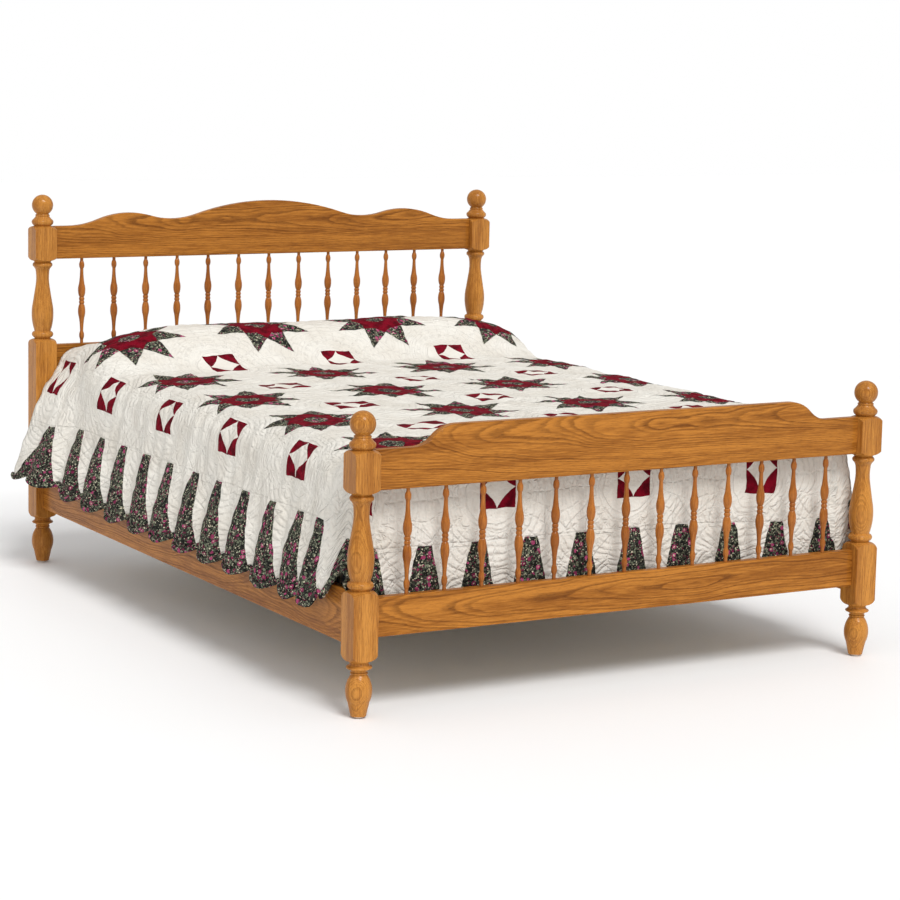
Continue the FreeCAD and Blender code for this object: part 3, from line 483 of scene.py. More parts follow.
def wedges(u, v):
    """The border's dark wedges, and how deep in the border a point lies."""
    side, side_share = wedge_row(u.size() - (QUILT_HALF - BORDER_DEPTH), v, WEDGE_FIRST)
    past = v - WEDGE_FIRST
    last = (past < side_share.most(0.0) * LAST_SPREAD + LAST_TOP) * (side_share > 0)
    side = side * (past < 0) + last * (past > -LAST_OVERLAP)
    foot, foot_share = wedge_row(FOOT_BORDER - v, u, WEDGE_FOOT_MIDDLE)
    at_side = side_share > foot_share
    mask = side.least(1.0) * at_side + foot * (1 - at_side)
    return mask, side_share.most(foot_share)


def stitching(u, v):
    """Heights between the lines of quilting: cables on the sides and feathers on top."""
    side = u.size() - CABLE_MIDDLE
    lines = []
    for start in (0.0, CABLE_PITCH / 2):
        y = repeat(v, start, CABLE_PITCH)
        away = (side * side + y * y).root()
        lines += [(away - ring).size() for ring in CABLE_RINGS]
    cable = lines[0].least(lines[1]).least(lines[2].least(lines[3]))
    cable = cable.most((side.size() - CABLE_HALF) * 8)
    x = repeat(u, STAR_MIDDLE, STAR_PITCH_ACROSS)
    y = repeat(v, SQUARE_ROW, STAR_PITCH_ALONG)
    away = (x * x + y * y).root()
    ripple = do("SINE", do("ARCTAN2", y, x) * WREATH_TURNS).size()
    wreath = (away - WREATH_RADIUS - ripple * WREATH_PETAL).size()
    spine = (away - SPINE_RADIUS).size()
    rays = ripple * away * 0.12 + (away < 0.1)
    feather = wreath.least(spine).least(rays)
    echo = repeat((x.size() ** 2.0 * 1.1 + y * y).root(), 0.0, ECHO_PITCH).size()
    echo = echo.most((ECHO_INSIDE - away) * 4)
    return step(cable.least(feather).least(echo), 0.0, GROOVE)


def make_quilt_cloth(calico, weave):
    """Cream cotton with red and printed stars, red squares, printed wedges and its quilting."""
    material, shader = new_material("quilt_cloth", Roughness=0.9, Specular_IOR_Level=0.12)
    flat = place_on(material, "UV")
    u, v = (part - BEND / 2 for part in split(shift(flat, 26.0, BEND))[:2])
    star, patterned, star_edge = stars(u, v)
    wedge, border = wedges(u, v)
    printed = use_group(calico, Vector=flat)["Color"]
    cream = blend(step(noise(flat, 9.0, 3), 0.3, 0.75), CREAM, CREAM_SHADE)
    red = blend(step(noise(flat, 40.0, 3), 0.38, 0.66), BURGUNDY, BURGUNDY_DARK)
    colour = blend(star, cream, blend(patterned, red, printed))
    colour = blend(squares(u, v), colour, red)
    colour = blend(wedge, colour, printed)
    stitched = stitching(*split(shift(flat, 14.0, 0.03))[:2]) * 0.38
    crease = noise(flat, 30.0, 3) * 1.15
    fine = noise(flat, 120.0) * 0.3
    seams = step(star_edge, 0.0, 0.03) * 0.3 + step(border.size(), 0.0, 0.02) * 0.3
    threads = use_group(weave, Vector=flat, Threads=2400.0)["Height"] * 0.03
    height = stitched + crease + fine + seams + threads
    set_surface(shader, colour, height, distance=0.0075, strength=0.9)
    return material


def make_print_cloth(calico):
    """The dark print of the binding."""
    material, shader = new_material("binding_cloth", Roughness=0.9, Specular_IOR_Level=0.12)
    place = place_on(material)
    printed = use_group(calico, Vector=place)["Color"]
    set_surface(shader, printed, noise(place, 170.0), distance=0.002, strength=0.8)
    return material


def make_plain_cloth(name, weave, light, shade):
    """Plain white cotton, slightly creased and uneven."""
    material, shader = new_material(name, Roughness=0.88, Specular_IOR_Level=0.15)
    place = place_on(material)
    colour = blend(step(noise(place, 14.0, 3), 0.35, 0.7), light, shade)
    threads = use_group(weave, Vector=place, Threads=1600.0)["Height"]
    height = noise(place, 40.0, 3) + threads * 0.05
    set_surface(shader, colour, height, distance=0.003, strength=0.6)
    return material


STRIPE_PITCH = 0.036
WIDE_STRIPE_HALF = 0.0042
THIN_STRIPE_HALF = 0.0011
THIN_STRIPE_AWAY = 0.0095


def make_ticking(weave):
    """Cream ticking with pairs of fine grey-blue stripes that run round the bed's sides."""
    material, shader = new_material("ticking", Roughness=0.82, Specular_IOR_Level=0.2)
    place = place_on(material)
    x, y, z = split(place)
    at_end = (y.size() > 1.0) * (x.size() < 0.72)
    stripe = repeat(x * at_end + y * (1 - at_end), 0.0, STRIPE_PITCH).size()
    thin = (stripe - THIN_STRIPE_AWAY).size() < THIN_STRIPE_HALF
    tone = step(noise(join(x * 300, y * 300, z * 40), 1.0, 2), 0.3, 0.7)
    plain = blend(tone, srgb(226, 220, 204), srgb(212, 205, 188))
    dyed = blend(tone, srgb(112, 126, 148), srgb(92, 106, 130))
    colour = blend((stripe < WIDE_STRIPE_HALF).most(thin), plain, dyed)
    threads = use_group(weave, Vector=place, Threads=1400.0)["Height"]
    height = threads * 0.3 + noise(place, 30.0)
    set_surface(shader, colour, height, distance=0.002, strength=0.6)
    return material


# ---- helpers for new pieces
SMOOTH_ANGLE = math.radians(35)
BOX_CLEAR = 0.0005
WAVE_COUNT = 36


def ramp(value, start, length):
    """A smooth step from 0 to 1 that begins at a start and takes a length."""
    share = np.clip((value - start) / length, 0, 1)
    return share * share * (3 - 2 * share)


def waves(u, v, height, shortest, longest, seed):
    """Seeded noise of about one height, made of waves of mixed length and direction."""
    chance = np.random.default_rng(seed)
    total = np.zeros_like(u)
    for _ in range(WAVE_COUNT):
        angle = chance.uniform(0, math.pi)
        turns = 2 * math.pi / chance.uniform(shortest, longest)
        total += np.sin(turns * (u * math.cos(angle) + v * math.sin(angle)) + chance.uniform(0, 6.3))
    return total / math.sqrt(WAVE_COUNT) * height


def unit(rows):
    """Directions of length 1."""
    return rows / np.maximum(np.linalg.norm(rows, axis=-1, keepdims=True), TINY)


def link(piece):
    """Puts a new object in the scene."""
    bpy.context.scene.collection.objects.link(piece)


def set_mode(mode):
    """Goes to edit mode or back to object mode."""
    bpy.ops.object.mode_set(mode=mode)


def add_mesh(name, points, faces, body):
    """A new smooth piece from points and faces, riding on a body."""
    mesh = bpy.data.meshes.new(name)
    mesh.from_pydata(points.tolist(), [], faces)
    mesh.shade_smooth()
    mesh.update()
    piece = bpy.data.objects.new(name, mesh)
    link(piece)
    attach(piece, body)
    return piece


def deselect():
    """Clears the selection."""
    bpy.ops.object.select_all(action="DESELECT")


def select_only(piece):
    """Selects one piece and makes it active."""
    deselect()
    piece.select_set(True)
    bpy.context.view_layer.objects.active = piece


def apply_modifier(piece, name, kind, **values):
    """Adds a modifier with its settings, and applies it."""
    select_only(piece)
    modifier = piece.modifiers.new(name, kind)
    for title, value in values.items():
        setattr(modifier, title, value)
    bpy.ops.object.modifier_apply(modifier=modifier.name)


def node_box(node):
    """A CAD node's lowest and highest corners."""
    low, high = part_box(node)
    return np.array(low), np.array(high)


def read_places(piece):
    """The places of a piece's vertices."""
    places = np.zeros(len(piece.data.vertices) * 3)
    piece.data.vertices.foreach_get("co", places)
    return places.reshape(-1, 3)


def write_places(piece, places, low, high):
    """Moves a piece's vertices, and keeps them inside a box."""
    inside = np.clip(places, low + BOX_CLEAR, high - BOX_CLEAR)
    piece.data.vertices.foreach_set("co", inside.ravel())


def from_middle(places, low, high):
    """The middle of a box, and places as shares of the way from it to the box's faces."""
    middle = (low + high) / 2
    return middle, (places - middle) / ((high - low) / 2)


def make_outward(piece):
    """Turns a closed mesh's faces outwards."""
    shape = bmesh.new()
    shape.from_mesh(piece.data)
    bmesh.ops.remove_doubles(shape, verts=shape.verts, dist=1e-5)
    bmesh.ops.recalc_face_normals(shape, faces=shape.faces)
    shape.to_mesh(piece.data)
    shape.free()


# ---- quilt shape
COLUMNS = 205
ROWS = 235

# The quilt's own plane is measured from the middle of the bed, in metres of flat cloth: its
# edges, and the part of it that lies on the mattress
QUILT_HALF = 1.155
QUILT_FOOT = -1.437
QUILT_HEAD = 1.098
QUILT_THICKNESS = 0.008
TOP_HALF = 0.694
TOP_FOOT = -0.949

# Half sections across the quilt in millimetres: on the mattress, on the pillows and at
# the head edge. Each goes from the middle to below the hem.
SECTION_FLAT = [
    (0, 667), (200, 668), (400, 667), (560, 665), (640, 663), (694, 660), (722, 652.5),
    (746, 637), (763, 615), (772, 590), (776, 560), (780, 530), (784, 500), (789, 470),
    (795, 430), (801, 380), (806, 330), (810, 270), (813, 150),
]
SECTION_RAISED = [
    (0, 769), (180, 775), (315, 777), (470, 773), (590, 760), (680, 736), (735, 705),
    (766, 667), (779, 620), (784, 570), (787, 530), (791, 490), (796, 460), (804, 410),
    (812, 350), (820, 270), (830, 150),
]
SECTION_END = [
    (0, 716), (180, 719), (315, 720), (470, 717), (590, 705), (672, 684), (716, 656),
    (748, 625), (773, 595), (793, 573), (812, 534), (828, 496), (841, 455), (851, 418),
    (866, 365), (878, 324), (892, 285), (915, 150),
]

# Half widths of flat cloth that reach the squares, the border's seam and the hem, and the
# heights at which these hang on each section. From 0.5 m on, each section only falls.
HUNG_WIDTHS = (0.795, 0.92, 1.155)
HUNG_FLAT = (0.602, 0.472, 0.252)
HUNG_RAISED = (0.610, 0.475, 0.262)
HUNG_END = (0.613, 0.465, 0.290)
FALLING_FROM = 0.5
SPARE = 0.1

# Smooth steps, each as its start and its length. These lie along the bed towards the head.
PILLOW_SLOPE = (0.52, 0.22)
CREST_FALL = (0.92, 0.12)
HEAD_FLARE = (0.74, 0.16)
HEAD_SLOPE = (0.80, 0.22)
# These lie along the bed towards the foot.
NEAR_POST = (0.90, 0.10)
FOOT_PULL = (0.88, 0.12)
# This one lies across the bed, and the next ones down the skirt as shares of its depth.
SIDE_BLEND = (0.60, 0.25)
HEM = (0.72, 0.28)
FOLD_GROWTH = (0.34, 0.62)
FOLD_CURL = (0.93, 0.07)

# The place of the head edge and the height of the pillows, then places along the bed with the
# flat cloth that lies there on top and hangs there at the side
HEAD_EDGE = 1.04
PILLOW_RISE = 0.1
TOP_PLACES = (TOP_FOOT, 0.4, HEAD_EDGE)
TOP_CLOTH = (TOP_FOOT, 0.4, QUILT_HEAD)
SIDE_PLACES = (-1.06, -0.862, -0.765, 0.7, HEAD_EDGE)
SIDE_CLOTH = (-1.05, -0.9315, -0.765, 0.7, QUILT_HEAD)

# Lobes of the hem and folds of the skirt
LOBE_SHARPNESS = 0.012
LOBE_REACH = 0.046
HEM_SCALLOP = 0.028
HEM_UNEVEN = 0.005
CORNER_RISE = 0.12
TUCK_MIDDLE = 0.55
TUCK_WIDTH = 0.42

# How far the pattern is moved: on top at the left, in the side's squares, at the hem near
# the foot, and behind the foot board
LEFT_SHIFT = 0.036
SQUARE_SHIFT = 0.02
HEM_PULL = 0.05
FOOT_SPREAD = 1.05
FOOT_SHIFT = 0.010
FOOT_DROP = 0.034
FOOT_RISE = 0.022

# What the cloth stays clear of: the foot posts and board, and the side rail
POST_CLEAR = 0.088
FOOT_CLEAR = 0.083
RAIL_TOP = 0.345
RAIL_END = 1.046
RAIL_INNER = 0.775
RAIL_OUTER = 0.8065

# The binding, as rings of points along the hem
BINDING_SIDES = 10
BINDING_DEPTH = 0.0085
BINDING_HALF = 0.0062
BINDING_DOWN = 0.004


def read_section(points):
    """A smooth curve through a section's points, as lengths along it and places."""
    knots = np.array(points, float) / 1000
    padded = np.vstack([2 * knots[0] - knots[1], knots, 2 * knots[-1] - knots[-2]])
    steps = np.linspace(0, 1, 12, endpoint=False)[:, None]
    runs = []
    for index in range(1, len(padded) - 2):
        a, b, c, d = padded[index - 1:index + 3]
        runs.append(0.5 * (2 * b + (c - a) * steps + (2 * a - 5 * b + 4 * c - d) * steps ** 2
                           + (3 * b - a - 3 * c + d) * steps ** 3))
    line = np.vstack(runs + [knots[-1:]])
    lengths = np.concatenate([[0], np.cumsum(np.linalg.norm(np.diff(line, axis=0), axis=1))])
    return lengths, line


def at_width(section, heights, widths):
    """Where points of the flat cloth hang on a section, by their distance from its middle."""
    known, line = read_section(section)
    below = known > FALLING_FROM
    falling = line[below, 1][::-1]
    marks = [float(np.interp(height, falling, known[below][::-1])) for height in heights]
    lengths = np.interp(widths, [0, *HUNG_WIDTHS, HUNG_WIDTHS[-1] + SPARE],
                        [0, *marks, marks[-1] + SPARE])
    return np.interp(lengths, known, line[:, 0]), np.interp(lengths, known, line[:, 1])


def lobe(along):
    """1 at the middle of each dark wedge, falling to a sharp 0 between them."""
    bowed = np.sqrt(np.cos(np.pi * along) ** 2 + LOBE_SHARPNESS)
    return bowed / math.sqrt(1 + LOBE_SHARPNESS)


class Cloth:
    """A grid of points on the flat quilt, and how each one lies on the bed."""

    def __init__(self):
        share = np.linspace(-1, 1, COLUMNS)
        across = QUILT_HALF * (0.82 * share + 0.18 * share ** 3)
        self.u, self.v = np.meshgrid(across, np.linspace(QUILT_FOOT, QUILT_HEAD, ROWS))
        self.side = np.sign(self.u)
        self.inner_u = np.clip(self.u, -TOP_HALF, TOP_HALF)
        self.inner_v = np.maximum(self.v, TOP_FOOT)
        self.past_side = np.abs(self.u) - np.abs(self.inner_u)
        self.past_foot = self.inner_v - self.v
        self.at_foot = self.past_foot > 0
        self.foot_only = self.at_foot & (self.past_side <= 0)
        self.drop = np.maximum(self.past_side, self.past_foot)
        self.skirt = self.drop / (QUILT_HALF - TOP_HALF)
        self.hanging = self.drop > 0
        self.find_turn()
        self.place_along()
        self.shape_hem()

    def find_turn(self):
        """Sets how far round a foot corner the cloth hangs, from 0 at the side."""
        corner = np.minimum(self.past_side, self.past_foot) / np.maximum(self.drop, TINY)
        turn = np.where(self.past_side >= self.past_foot, corner, 2 - corner) * math.pi / 4
        self.turn = np.where(self.at_foot, turn, 0)
        self.by_side = self.turn < math.pi / 4

    def place_along(self):
        """Sets places along the bed. On top, the pillows take up some of the length."""
        places = np.linspace(TOP_FOOT, HEAD_EDGE, 400)
        rise = PILLOW_RISE * ramp(places, *PILLOW_SLOPE) * (1 - 0.5 * ramp(places, *CREST_FALL))
        run = np.hypot(np.diff(places), np.diff(rise))
        lengths = np.concatenate([[0], np.cumsum(run)]) + TOP_FOOT
        stretch = np.where(self.inner_v > 0, lengths[-1] / QUILT_HEAD, 1)
        on_top = np.interp(self.inner_v * stretch, lengths, places)
        self.y_side = np.interp(self.inner_v, TOP_CLOTH, TOP_PLACES)
        self.low = ramp(np.abs(self.u), *SIDE_BLEND)
        self.y = on_top * (1 - self.low) + self.y_side * self.low
        self.y_round = np.where(self.at_foot, TOP_FOOT - 0.10 * self.turn, self.y_side)
        self.v_hung = np.interp(self.y_round, SIDE_PLACES, SIDE_CLOTH)

    def shape_hem(self):
        """Sets the lobes, and the hem's rise between them and at the tucked foot corners."""
        by_side = (self.v_hung - WEDGE_FIRST) / WEDGE_PITCH
        by_foot = (self.u * FOOT_SPREAD - WEDGE_FOOT_MIDDLE) / WEDGE_PITCH
        along = np.where(self.by_side, by_side, by_foot)
        which = np.round(along)
        self.wave = lobe(along)
        self.uneven = np.sin(which * 2.3 + 0.7) * 0.5 + np.sin(which * 5.1) * 0.5
        self.hem = ramp(self.skirt, *HEM)
        lift = (HEM_SCALLOP * (1 - self.wave) + HEM_UNEVEN * self.uneven) * self.hem
        self.tuck = np.exp(-((self.turn - TUCK_MIDDLE) / TUCK_WIDTH) ** 2) * self.at_foot
        near_post = ramp(-self.y, *NEAR_POST) * ~self.at_foot
        corner = np.maximum(self.tuck, near_post * 0.85)
        lift = lift * (1 - self.tuck) + CORNER_RISE * self.skirt * corner
        self.reach = np.maximum(self.drop - lift, 0)

    def hang(self):
        """How far out and how high the cloth lies, from the three half sections."""
        lengths = np.where(self.foot_only, TOP_HALF, np.abs(self.inner_u)) + self.reach
        self.flare = ramp(self.y, *HEAD_FLARE) * self.low
        at_head = np.maximum(ramp(self.y, *HEAD_SLOPE) * (1 - self.low), self.flare)
        x, z = at_width(SECTION_FLAT, HUNG_FLAT, lengths)
        for section, heights, share in (
                (SECTION_RAISED, HUNG_RAISED, ramp(self.y, *PILLOW_SLOPE)),
                (SECTION_END, HUNG_END, at_head)):
            other_x, other_z = at_width(section, heights, lengths)
            x = x + (other_x - x) * share
            z = z + (other_z - z) * share
        return x, z

    def fold(self, out):
        """How far the skirt stands out, round over the dark wedges and sharp between them."""
        grow = ramp(self.skirt, *FOLD_GROWTH) * (1 - 0.25 * ramp(self.skirt, *FOLD_CURL) * self.wave)
        depth = grow * LOBE_REACH * (1 + 0.16 * self.uneven) * (1 - 0.55 * self.flare)
        folded = out + depth * (self.wave - 0.12) * (1 - ramp(self.turn, 0.25, 0.5))
        out = np.where(self.hanging & self.by_side, folded, out)
        squarer = 1 / np.maximum(np.cos(self.turn), np.sin(self.turn)) - 1
        limit = POST_CLEAR / np.maximum(np.sin(self.turn), 1e-3)
        out = np.where(self.at_foot, np.minimum(out * (1 + 0.85 * squarer), limit), out)
        behind_board = np.minimum(out, FOOT_CLEAR) + 0.004 * grow * (self.wave - 0.5)
        return np.where(self.turn > 1.2, behind_board, out)

    def relief(self):
        """Puckers from the quilting, and slacker creases on the hanging cloth."""
        pucker = waves(self.u, self.v, height=0.0014, shortest=0.034, longest=0.075, seed=3)
        slack = waves(self.u, self.v, height=0.0022, shortest=0.14, longest=0.34, seed=5)
        drag = waves(self.u * 0.15, self.v_hung, height=0.0022, shortest=0.045, longest=0.1, seed=8)
        drag = drag * ramp(self.skirt, 0, 0.2) * (1 - ramp(self.skirt, 0.5, 0.3)) * (self.turn < 1.5)
        relief = (pucker + slack * (1 - self.hem) + drag) * (1 - self.tuck * 0.7)
        return np.where(self.at_foot, np.clip(relief, -0.004, 0.001), relief)

    def top_shift(self):
        """How far the pattern on top is moved across, on the left and on the pillows."""
        pillowed = ramp(self.v, 0.40, 0.16)
        left = LEFT_SHIFT * ramp(-self.u, 0.25, 0.2)
        on_pillows = np.clip(0.042 + 0.055 * self.u, 0.004, 0.08)
        return left * (1 - pillowed) + on_pillows * pillowed

    def pattern_beside(self):
        """Places on the flat cloth, as the top and the sides show them."""
        pull = ramp(-np.where(self.at_foot, self.y_round, self.y), *FOOT_PULL)
        v = self.v_hung - HEM_PULL * pull * ramp(self.skirt, 0.45, 0.5)
        v = v - SQUARE_SHIFT * ramp(self.drop, 0, 0.05) * (1 - ramp(self.drop, 0.13, 0.07))
        v = self.v + (v - self.v) * ramp(self.drop, 0, 0.15)
        u = self.u + self.top_shift() * (1 - ramp(self.past_side, 0, 0.08))
        return np.stack([u, v], -1)

    def pattern_below(self, x):
        """Places on the flat cloth, as the foot shows them."""
        hung = TOP_FOOT - self.drop - FOOT_DROP * ramp(self.drop, 0, 0.10)
        v = np.where(self.hanging, hung, self.v)
        v = v + FOOT_RISE * ramp(x, 0.1, 0.5) * ramp(self.drop, 0.12, 0.12)
        low = ramp(self.drop, 0.2, 0.08)
        u = np.where(self.past_side > 0, x, self.inner_u) * (1 + (FOOT_SPREAD - 1) * low)
        u = u - FOOT_SHIFT * (1 - low) * ramp(self.drop, 0, 0.1)
        u = np.where(self.hanging, u, self.u) + self.top_shift() * (1 - ramp(self.drop, 0, 0.08))
        return np.stack([u, v], -1)


def quilt_points():
    """The quilt's outer surface, and the place of each point on the flat cloth."""
    cloth = Cloth()
    x, z = cloth.hang()
    out = cloth.fold(x - TOP_HALF)
    x = np.where(cloth.past_side > 0, TOP_HALF + out * np.cos(cloth.turn), x)
    x = np.where(cloth.foot_only, np.abs(cloth.inner_u), x)
    y = cloth.y - out * np.sin(cloth.turn)
    by_rail = (z < RAIL_TOP) & (np.abs(y) < RAIL_END) & (x > RAIL_INNER)
    x = cloth.side * np.where(by_rail, np.maximum(x, RAIL_OUTER), x)
    points = np.stack([x, y, z], -1)
    normal = unit(np.cross(np.gradient(points, axis=1), np.gradient(points, axis=0)))
    points = points + normal * cloth.relief()[..., None]
    clear = cloth.side * np.maximum(np.abs(points[..., 0]), RAIL_OUTER)
    points[..., 0] = np.where(by_rail, clear, points[..., 0])
    part = np.where(cloth.hanging, np.where(cloth.by_side, -1, 1), 0)
    return points, cloth.pattern_beside(), cloth.pattern_below(x), part


def make_quilt():
    """The quilt as one sheet, with its flat places as a UV map, and its points."""
    points, beside, below, part = quilt_points()
    index = np.arange(ROWS * COLUMNS).reshape(ROWS, COLUMNS)
    faces = np.stack([index[:-1, :-1], index[:-1, 1:], index[1:, 1:], index[1:, :-1]], -1)
    quilt = add_mesh("quilt_top", points.reshape(-1, 3), faces.reshape(-1, 4).tolist(), "bedding")
    mesh = quilt.data
    loops = np.zeros(len(mesh.loops), int)
    mesh.loops.foreach_get("vertex_index", loops)
    parts = part.reshape(-1)[loops].reshape(-1, 4)
    foot_face = (parts.min(axis=1) >= 0) & (parts.max(axis=1) > 0)
    on_foot = np.repeat(foot_face, 4)[:, None]
    flat = np.where(on_foot, below.reshape(-1, 2)[loops], beside.reshape(-1, 2)[loops])
    mesh.uv_layers.new(name="UVMap").data.foreach_set("uv", flat.astype(np.float32).ravel())
    return quilt, points


def make_binding(points):
    """A folded strip of the dark print that wraps the hem of both sides and the foot."""
    low = np.concatenate([points[::-1, 0], points[0, 1:], points[1:, -1]])
    within = np.concatenate([points[::-1, 1], points[1, 1:], points[1:, -2]])
    ahead = unit(np.gradient(low, axis=0))
    down = low - within
    down = unit(down - ahead * np.sum(down * ahead, axis=1, keepdims=True))
    outward = np.cross(ahead, down)
    place = np.arange(len(low))
    fullness = 1 + 0.14 * np.sin(place * 1.9) * np.sin(place * 0.37 + 1)
    middle = low - outward * (QUILT_THICKNESS / 2) - down * BINDING_DOWN
    angles = np.arange(BINDING_SIDES) * (2 * math.pi / BINDING_SIDES)
    ring = (middle[:, None] + down[:, None] * (np.cos(angles)[None, :, None] * BINDING_DEPTH)
            + outward[:, None] * (np.sin(angles) * BINDING_HALF)[None, :, None]
            * fullness[:, None, None])
    index = np.arange(len(low) * BINDING_SIDES).reshape(-1, BINDING_SIDES)
    around = np.roll(index, -1, axis=1)
    faces = np.stack([index[:-1], around[:-1], around[1:], index[1:]], -1).reshape(-1, 4).tolist()
    faces += [index[0, ::-1].tolist(), index[-1].tolist()]
    binding = add_mesh("quilt_binding", ring.reshape(-1, 3), faces, "bedding")
    make_outward(binding)
    return binding


def finish_quilt(calico, weave):
    """The quilt with its batting and binding."""
    quilt, points = make_quilt()
    cover(quilt, make_quilt_cloth(calico, weave))
    binding = make_binding(points)
    cover(binding, make_print_cloth(calico))
    apply_modifier(quilt, "batting", "SOLIDIFY", thickness=QUILT_THICKNESS, offset=-1)
    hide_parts("quilt")


# ---- pillows, mattress, box spring
PILLOW_INSET = np.array([0.022, 0.022, 0.003])
PILLOW_INSET_TOP = np.array([0.022, 0.022, 0.024])
PILLOW_VOXEL = 0.0065
PILLOW_SWELL = 0.018
SEAM_HEIGHT = 0.022
SEAM_HALF = 0.006
SEAM_DEPTH = 0.004
PAD_GAP = 0.001
PAD_VOXEL = 0.016
TUFT_PITCH = 0.19
PIPING_INSET = 0.0075
PIPING_RADIUS = 0.0055
FILLING_STEPS = 20


def add_block(name, low, high, corner, edge, body):
    """A box with rounded upright corners and rounded top and bottom edges."""
    deselect()
    bpy.ops.mesh.primitive_cube_add(size=1, location=list((low + high) / 2))
    piece = bpy.context.object
    piece.name = name
    piece.data.name = name
    piece.scale = high - low
    bpy.ops.object.transform_apply(location=True, rotation=True, scale=True)
    for upright, offset, segments in ((True, corner, 10), (False, edge, 8)):
        set_mode("EDIT")
        bpy.ops.mesh.select_all(action="DESELECT")
        set_mode("OBJECT")
        for line in piece.data.edges:
            a, b = (piece.data.vertices[index].co for index in line.vertices)
            rise = abs(a.z - b.z)
            line.select = rise > 1e-4 if upright else rise < 1e-5
        set_mode("EDIT")
        bpy.ops.mesh.select_mode(type="EDGE")
        bpy.ops.mesh.bevel(offset=offset, segments=segments, profile=0.5, clamp_overlap=True)
        set_mode("OBJECT")
    bpy.ops.object.shade_smooth_by_angle(angle=SMOOTH_ANGLE)
    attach(piece, body)
    return piece


def add_piping(name, low, high, corner, level, body):
    """A round cord of cloth that runs round a pad at one height."""
    deselect()
    middle = (low + high) / 2
    bpy.ops.mesh.primitive_plane_add(size=1, location=(middle[0], middle[1], level))
    piece = bpy.context.object
    piece.name = name
    piece.scale = (*(high - low - 2 * PIPING_INSET)[:2], 1)
    bpy.ops.object.transform_apply(location=True, rotation=True, scale=True)
    set_mode("EDIT")
    bpy.ops.mesh.select_mode(type="VERT")
    bpy.ops.mesh.select_all(action="SELECT")
    bpy.ops.mesh.bevel(offset=corner - PIPING_INSET, segments=12, affect="VERTICES")
    bpy.ops.mesh.select_all(action="SELECT")
    bpy.ops.mesh.delete(type="ONLY_FACE")
    set_mode("OBJECT")
    bpy.ops.object.convert(target="CURVE")
    piece.data.bevel_depth = PIPING_RADIUS
    piece.data.bevel_resolution = 3
    bpy.ops.object.convert(target="MESH")
    piece.data.name = name
    bpy.ops.object.shade_smooth()
    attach(piece, body)
    return piece


def swell(piece, most, voxel, floor):
    """Fills a pad by cloth simulation, with its movement capped, and returns its new places."""
    apply_modifier(piece, "remesh", "REMESH", mode="VOXEL", voxel_size=voxel)
    start = read_places(piece)
    cloth = piece.modifiers.new("cloth", "CLOTH")
    cloth.settings.use_pressure = True
    cloth.settings.uniform_pressure_force = 4
    cloth.settings.effector_weights.gravity = 0
    cloth.point_cache.frame_start = 1
    cloth.point_cache.frame_end = FILLING_STEPS
    for number in range(1, FILLING_STEPS + 1):
        bpy.context.scene.frame_set(number)
    bpy.ops.object.modifier_apply(modifier=cloth.name)
    bpy.context.scene.frame_set(1)
    move = read_places(piece) - start
    length = np.linalg.norm(move, axis=1, keepdims=True)
    end = start + move * np.minimum(1, most / np.maximum(length, TINY))
    end[:, 2] = np.maximum(end[:, 2], floor)
    return end


def dress_pillow(places, low, high):
    """Pulls in a pillow's sides, lets its crown fall away and pinches its seam."""
    middle, away = from_middle(places, low, high)
    pull = 1 - 0.05 * (1 - away[:, [1, 0]] ** 2)
    places[:, :2] = middle[:2] + (places[:, :2] - middle[:2]) * pull
    outer = np.clip(np.maximum(np.abs(away[:, 0]), np.abs(away[:, 1])), 0, 1)
    crown = 1 - 0.55 * ramp(outer, 0.45, 0.6)
    top = places[:, 2] > middle[2] - 0.01
    lift = places[:, 2] - low[2]
    places[:, 2] = np.where(top, low[2] + lift * crown, places[:, 2])
    seam = np.exp(-((places[:, 2] - low[2] - SEAM_HEIGHT) / SEAM_HALF) ** 2) * ramp(outer, 0.8, 0.1)
    places[:, :2] -= np.sign(places[:, :2] - middle[:2]) * (seam * SEAM_DEPTH)[:, None]
    creases = waves(places[:, 0], places[:, 1], height=0.0015, shortest=0.08, longest=0.2, seed=11)
    places[:, 2] += creases * top
    return places


def make_pillows(weave):
    """Two pillows with a pinched seam, each swollen by its filling."""
    low, high = node_box("pillow_left")
    pad = add_block("pillow_pad_left", low + PILLOW_INSET, high - PILLOW_INSET_TOP, corner=0.05,
                    edge=0.034, body="bedding")
    places = swell(pad, PILLOW_SWELL, PILLOW_VOXEL, low[2] + PAD_GAP)
    write_places(pad, dress_pillow(places, low, high), low, high)
    apply_modifier(pad, "smooth", "SUBSURF", levels=1, render_levels=1)
    bpy.ops.object.shade_smooth()
    cover(pad, make_plain_cloth("pillow_cotton", weave, srgb(238, 236, 230), srgb(222, 220, 213)))
    twin = pad.copy()
    twin.data = pad.data.copy()
    twin.name = "pillow_pad_right"
    twin.data.name = "pillow_pad_right"
    link(twin)
    twin_low, _ = node_box("pillow_right")
    twin.data.transform(Matrix.Translation((twin_low[0] - low[0], 0, 0)))
    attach(twin, "bedding")
    for piece, node in ((pad, "pillow_left"), (twin, "pillow_right")):
        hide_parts(node)


def bulge_sides(places, low, high, bulge):
    """Moves a pad's side faces out between its edges, and more between its tufts."""
    _, away = from_middle(places, low, high)
    outward = (1 - np.clip(np.abs(away[:, 2]), 0, 1) ** 2.5) * bulge * 0.95
    for axis in (0, 1):
        at_face = ramp(np.abs(away[:, axis]), 0.9, 0.06)
        ripple = 1 + 0.12 * np.sin(places[:, 1 - axis] * 2 * math.pi / TUFT_PITCH)
        places[:, axis] += np.sign(away[:, axis]) * at_face * outward * ripple * 0.85
    return places


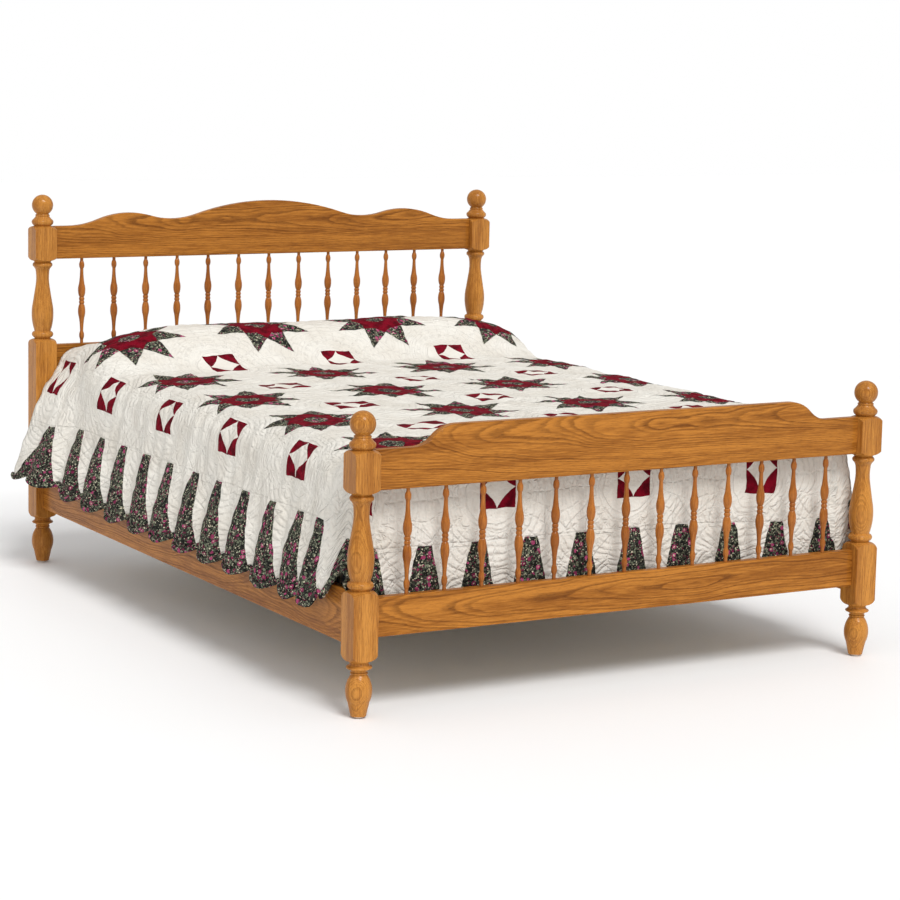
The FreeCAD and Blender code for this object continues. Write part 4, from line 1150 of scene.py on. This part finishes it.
def make_pad(node, body, ticking, tape, corner, edge, bulge):
    """The mattress or the box spring: a ticking-covered block with two lines of piping."""
    low, high = node_box(node)
    inset = np.array([bulge, bulge, PAD_GAP])
    pad = add_block(f"{node}_pad", low + inset, high - inset, corner, edge, body)
    select_only(pad)
    set_mode("EDIT")
    bpy.ops.mesh.select_all(action="SELECT")
    bpy.ops.mesh.quads_convert_to_tris()
    set_mode("OBJECT")
    apply_modifier(pad, "even", "REMESH", mode="VOXEL", voxel_size=PAD_VOXEL)
    write_places(pad, bulge_sides(read_places(pad), low, high, bulge), low, high)
    bpy.ops.object.shade_smooth()
    cover(pad, ticking)
    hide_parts(node)
    for place, level in (("top", high[2] - edge * 0.9), ("bottom", low[2] + edge * 0.9)):
        piping = add_piping(f"{node}_piping_{place}", low, high, corner, level, body)
        cover(piping, tape)


# ---- camera, floor, light
WHITE = (1, 1, 1, 1)
FLOOR_SIZE = 40
FLOOR_WHITE = (0.975, 0.975, 0.975, 1)
ROOM_STRENGTH = 0.57


def aim_camera():
    """The camera, with the roll and the off-centre frame of the photograph."""
    data = bpy.data.cameras.new("camera")
    camera = bpy.data.objects.new("camera", data)
    link(camera)
    ahead = Vector((math.sin(CAMERA_YAW) * math.cos(CAMERA_PITCH),
                    math.cos(CAMERA_YAW) * math.cos(CAMERA_PITCH), -math.sin(CAMERA_PITCH)))
    level = ahead.cross(Vector((0, 0, 1))).normalized()
    upward = level.cross(ahead)
    right = math.cos(CAMERA_ROLL) * level + math.sin(CAMERA_ROLL) * upward
    up = -math.sin(CAMERA_ROLL) * level + math.cos(CAMERA_ROLL) * upward
    turn = Matrix((right, up, -ahead)).transposed().to_4x4()
    camera.matrix_world = Matrix.Translation(CAMERA_PLACE) @ turn
    data.sensor_width = SENSOR
    data.lens = FOCAL_PIXELS * SENSOR / PICTURE
    data.shift_x = (PICTURE / 2 - PRINCIPAL[0]) / PICTURE
    data.shift_y = (PRINCIPAL[1] - PICTURE / 2) / PICTURE
    data.clip_start = 0.1
    data.clip_end = 100
    bpy.context.scene.camera = camera


def make_floor():
    """A plain pale floor."""
    deselect()
    bpy.ops.mesh.primitive_plane_add(size=FLOOR_SIZE, location=(0, 0, 0))
    floor = bpy.context.object
    floor.name = "floor"
    cover(floor, new_material("pale_floor", Base_Color=FLOOR_WHITE, Roughness=0.6)[0])


def add_sun(name, towards, strength, spread):
    """A soft distant light that comes from a direction."""
    data = bpy.data.lights.new(name, "SUN")
    data.energy = strength
    data.angle = math.radians(spread)
    light = bpy.data.objects.new(name, data)
    light.rotation_euler = Vector(towards).to_track_quat("Z", "Y").to_euler()
    link(light)


def light_scene():
    """A white studio: an even soft room, a key from the front and a weak one from the left."""
    bpy.context.scene.view_settings.view_transform = "Standard"
    world = bpy.data.worlds.new("studio")
    bpy.context.scene.world = world
    world.use_nodes = True
    tree = world.node_tree
    room = tree.nodes["Background"]
    room.inputs["Color"].default_value = WHITE
    room.inputs["Strength"].default_value = ROOM_STRENGTH
    wall = add_node(tree, "ShaderNodeBackground", 0, Color=WHITE)
    seen = add_node(tree, "ShaderNodeLightPath", "Is Camera Ray")
    both = fed_node("ShaderNodeMixShader", seen, Term(room.outputs[0]), wall)[0]
    feed(both, tree.nodes["World Output"].inputs["Surface"])
    add_sun("key", (-0.06, -0.62, 0.78), strength=2.1, spread=24)
    add_sun("side", (-0.75, -0.2, 0.62), strength=0.12, spread=40)


# ---- making the pieces
finish_wood()
finish_metal()
weave = weave_group()
calico = calico_group()
ticking = make_ticking(weave)
tape = make_plain_cloth("tape", weave, srgb(206, 200, 186), srgb(190, 184, 170))
make_pad("box_spring", "box_spring", ticking, tape, corner=0.05, edge=0.014, bulge=0.004)
make_pad("mattress", "bedding", ticking, tape, corner=0.075, edge=0.05, bulge=0.010)
make_pillows(weave)
finish_quilt(calico, weave)
aim_camera()
make_floor()
light_scene()
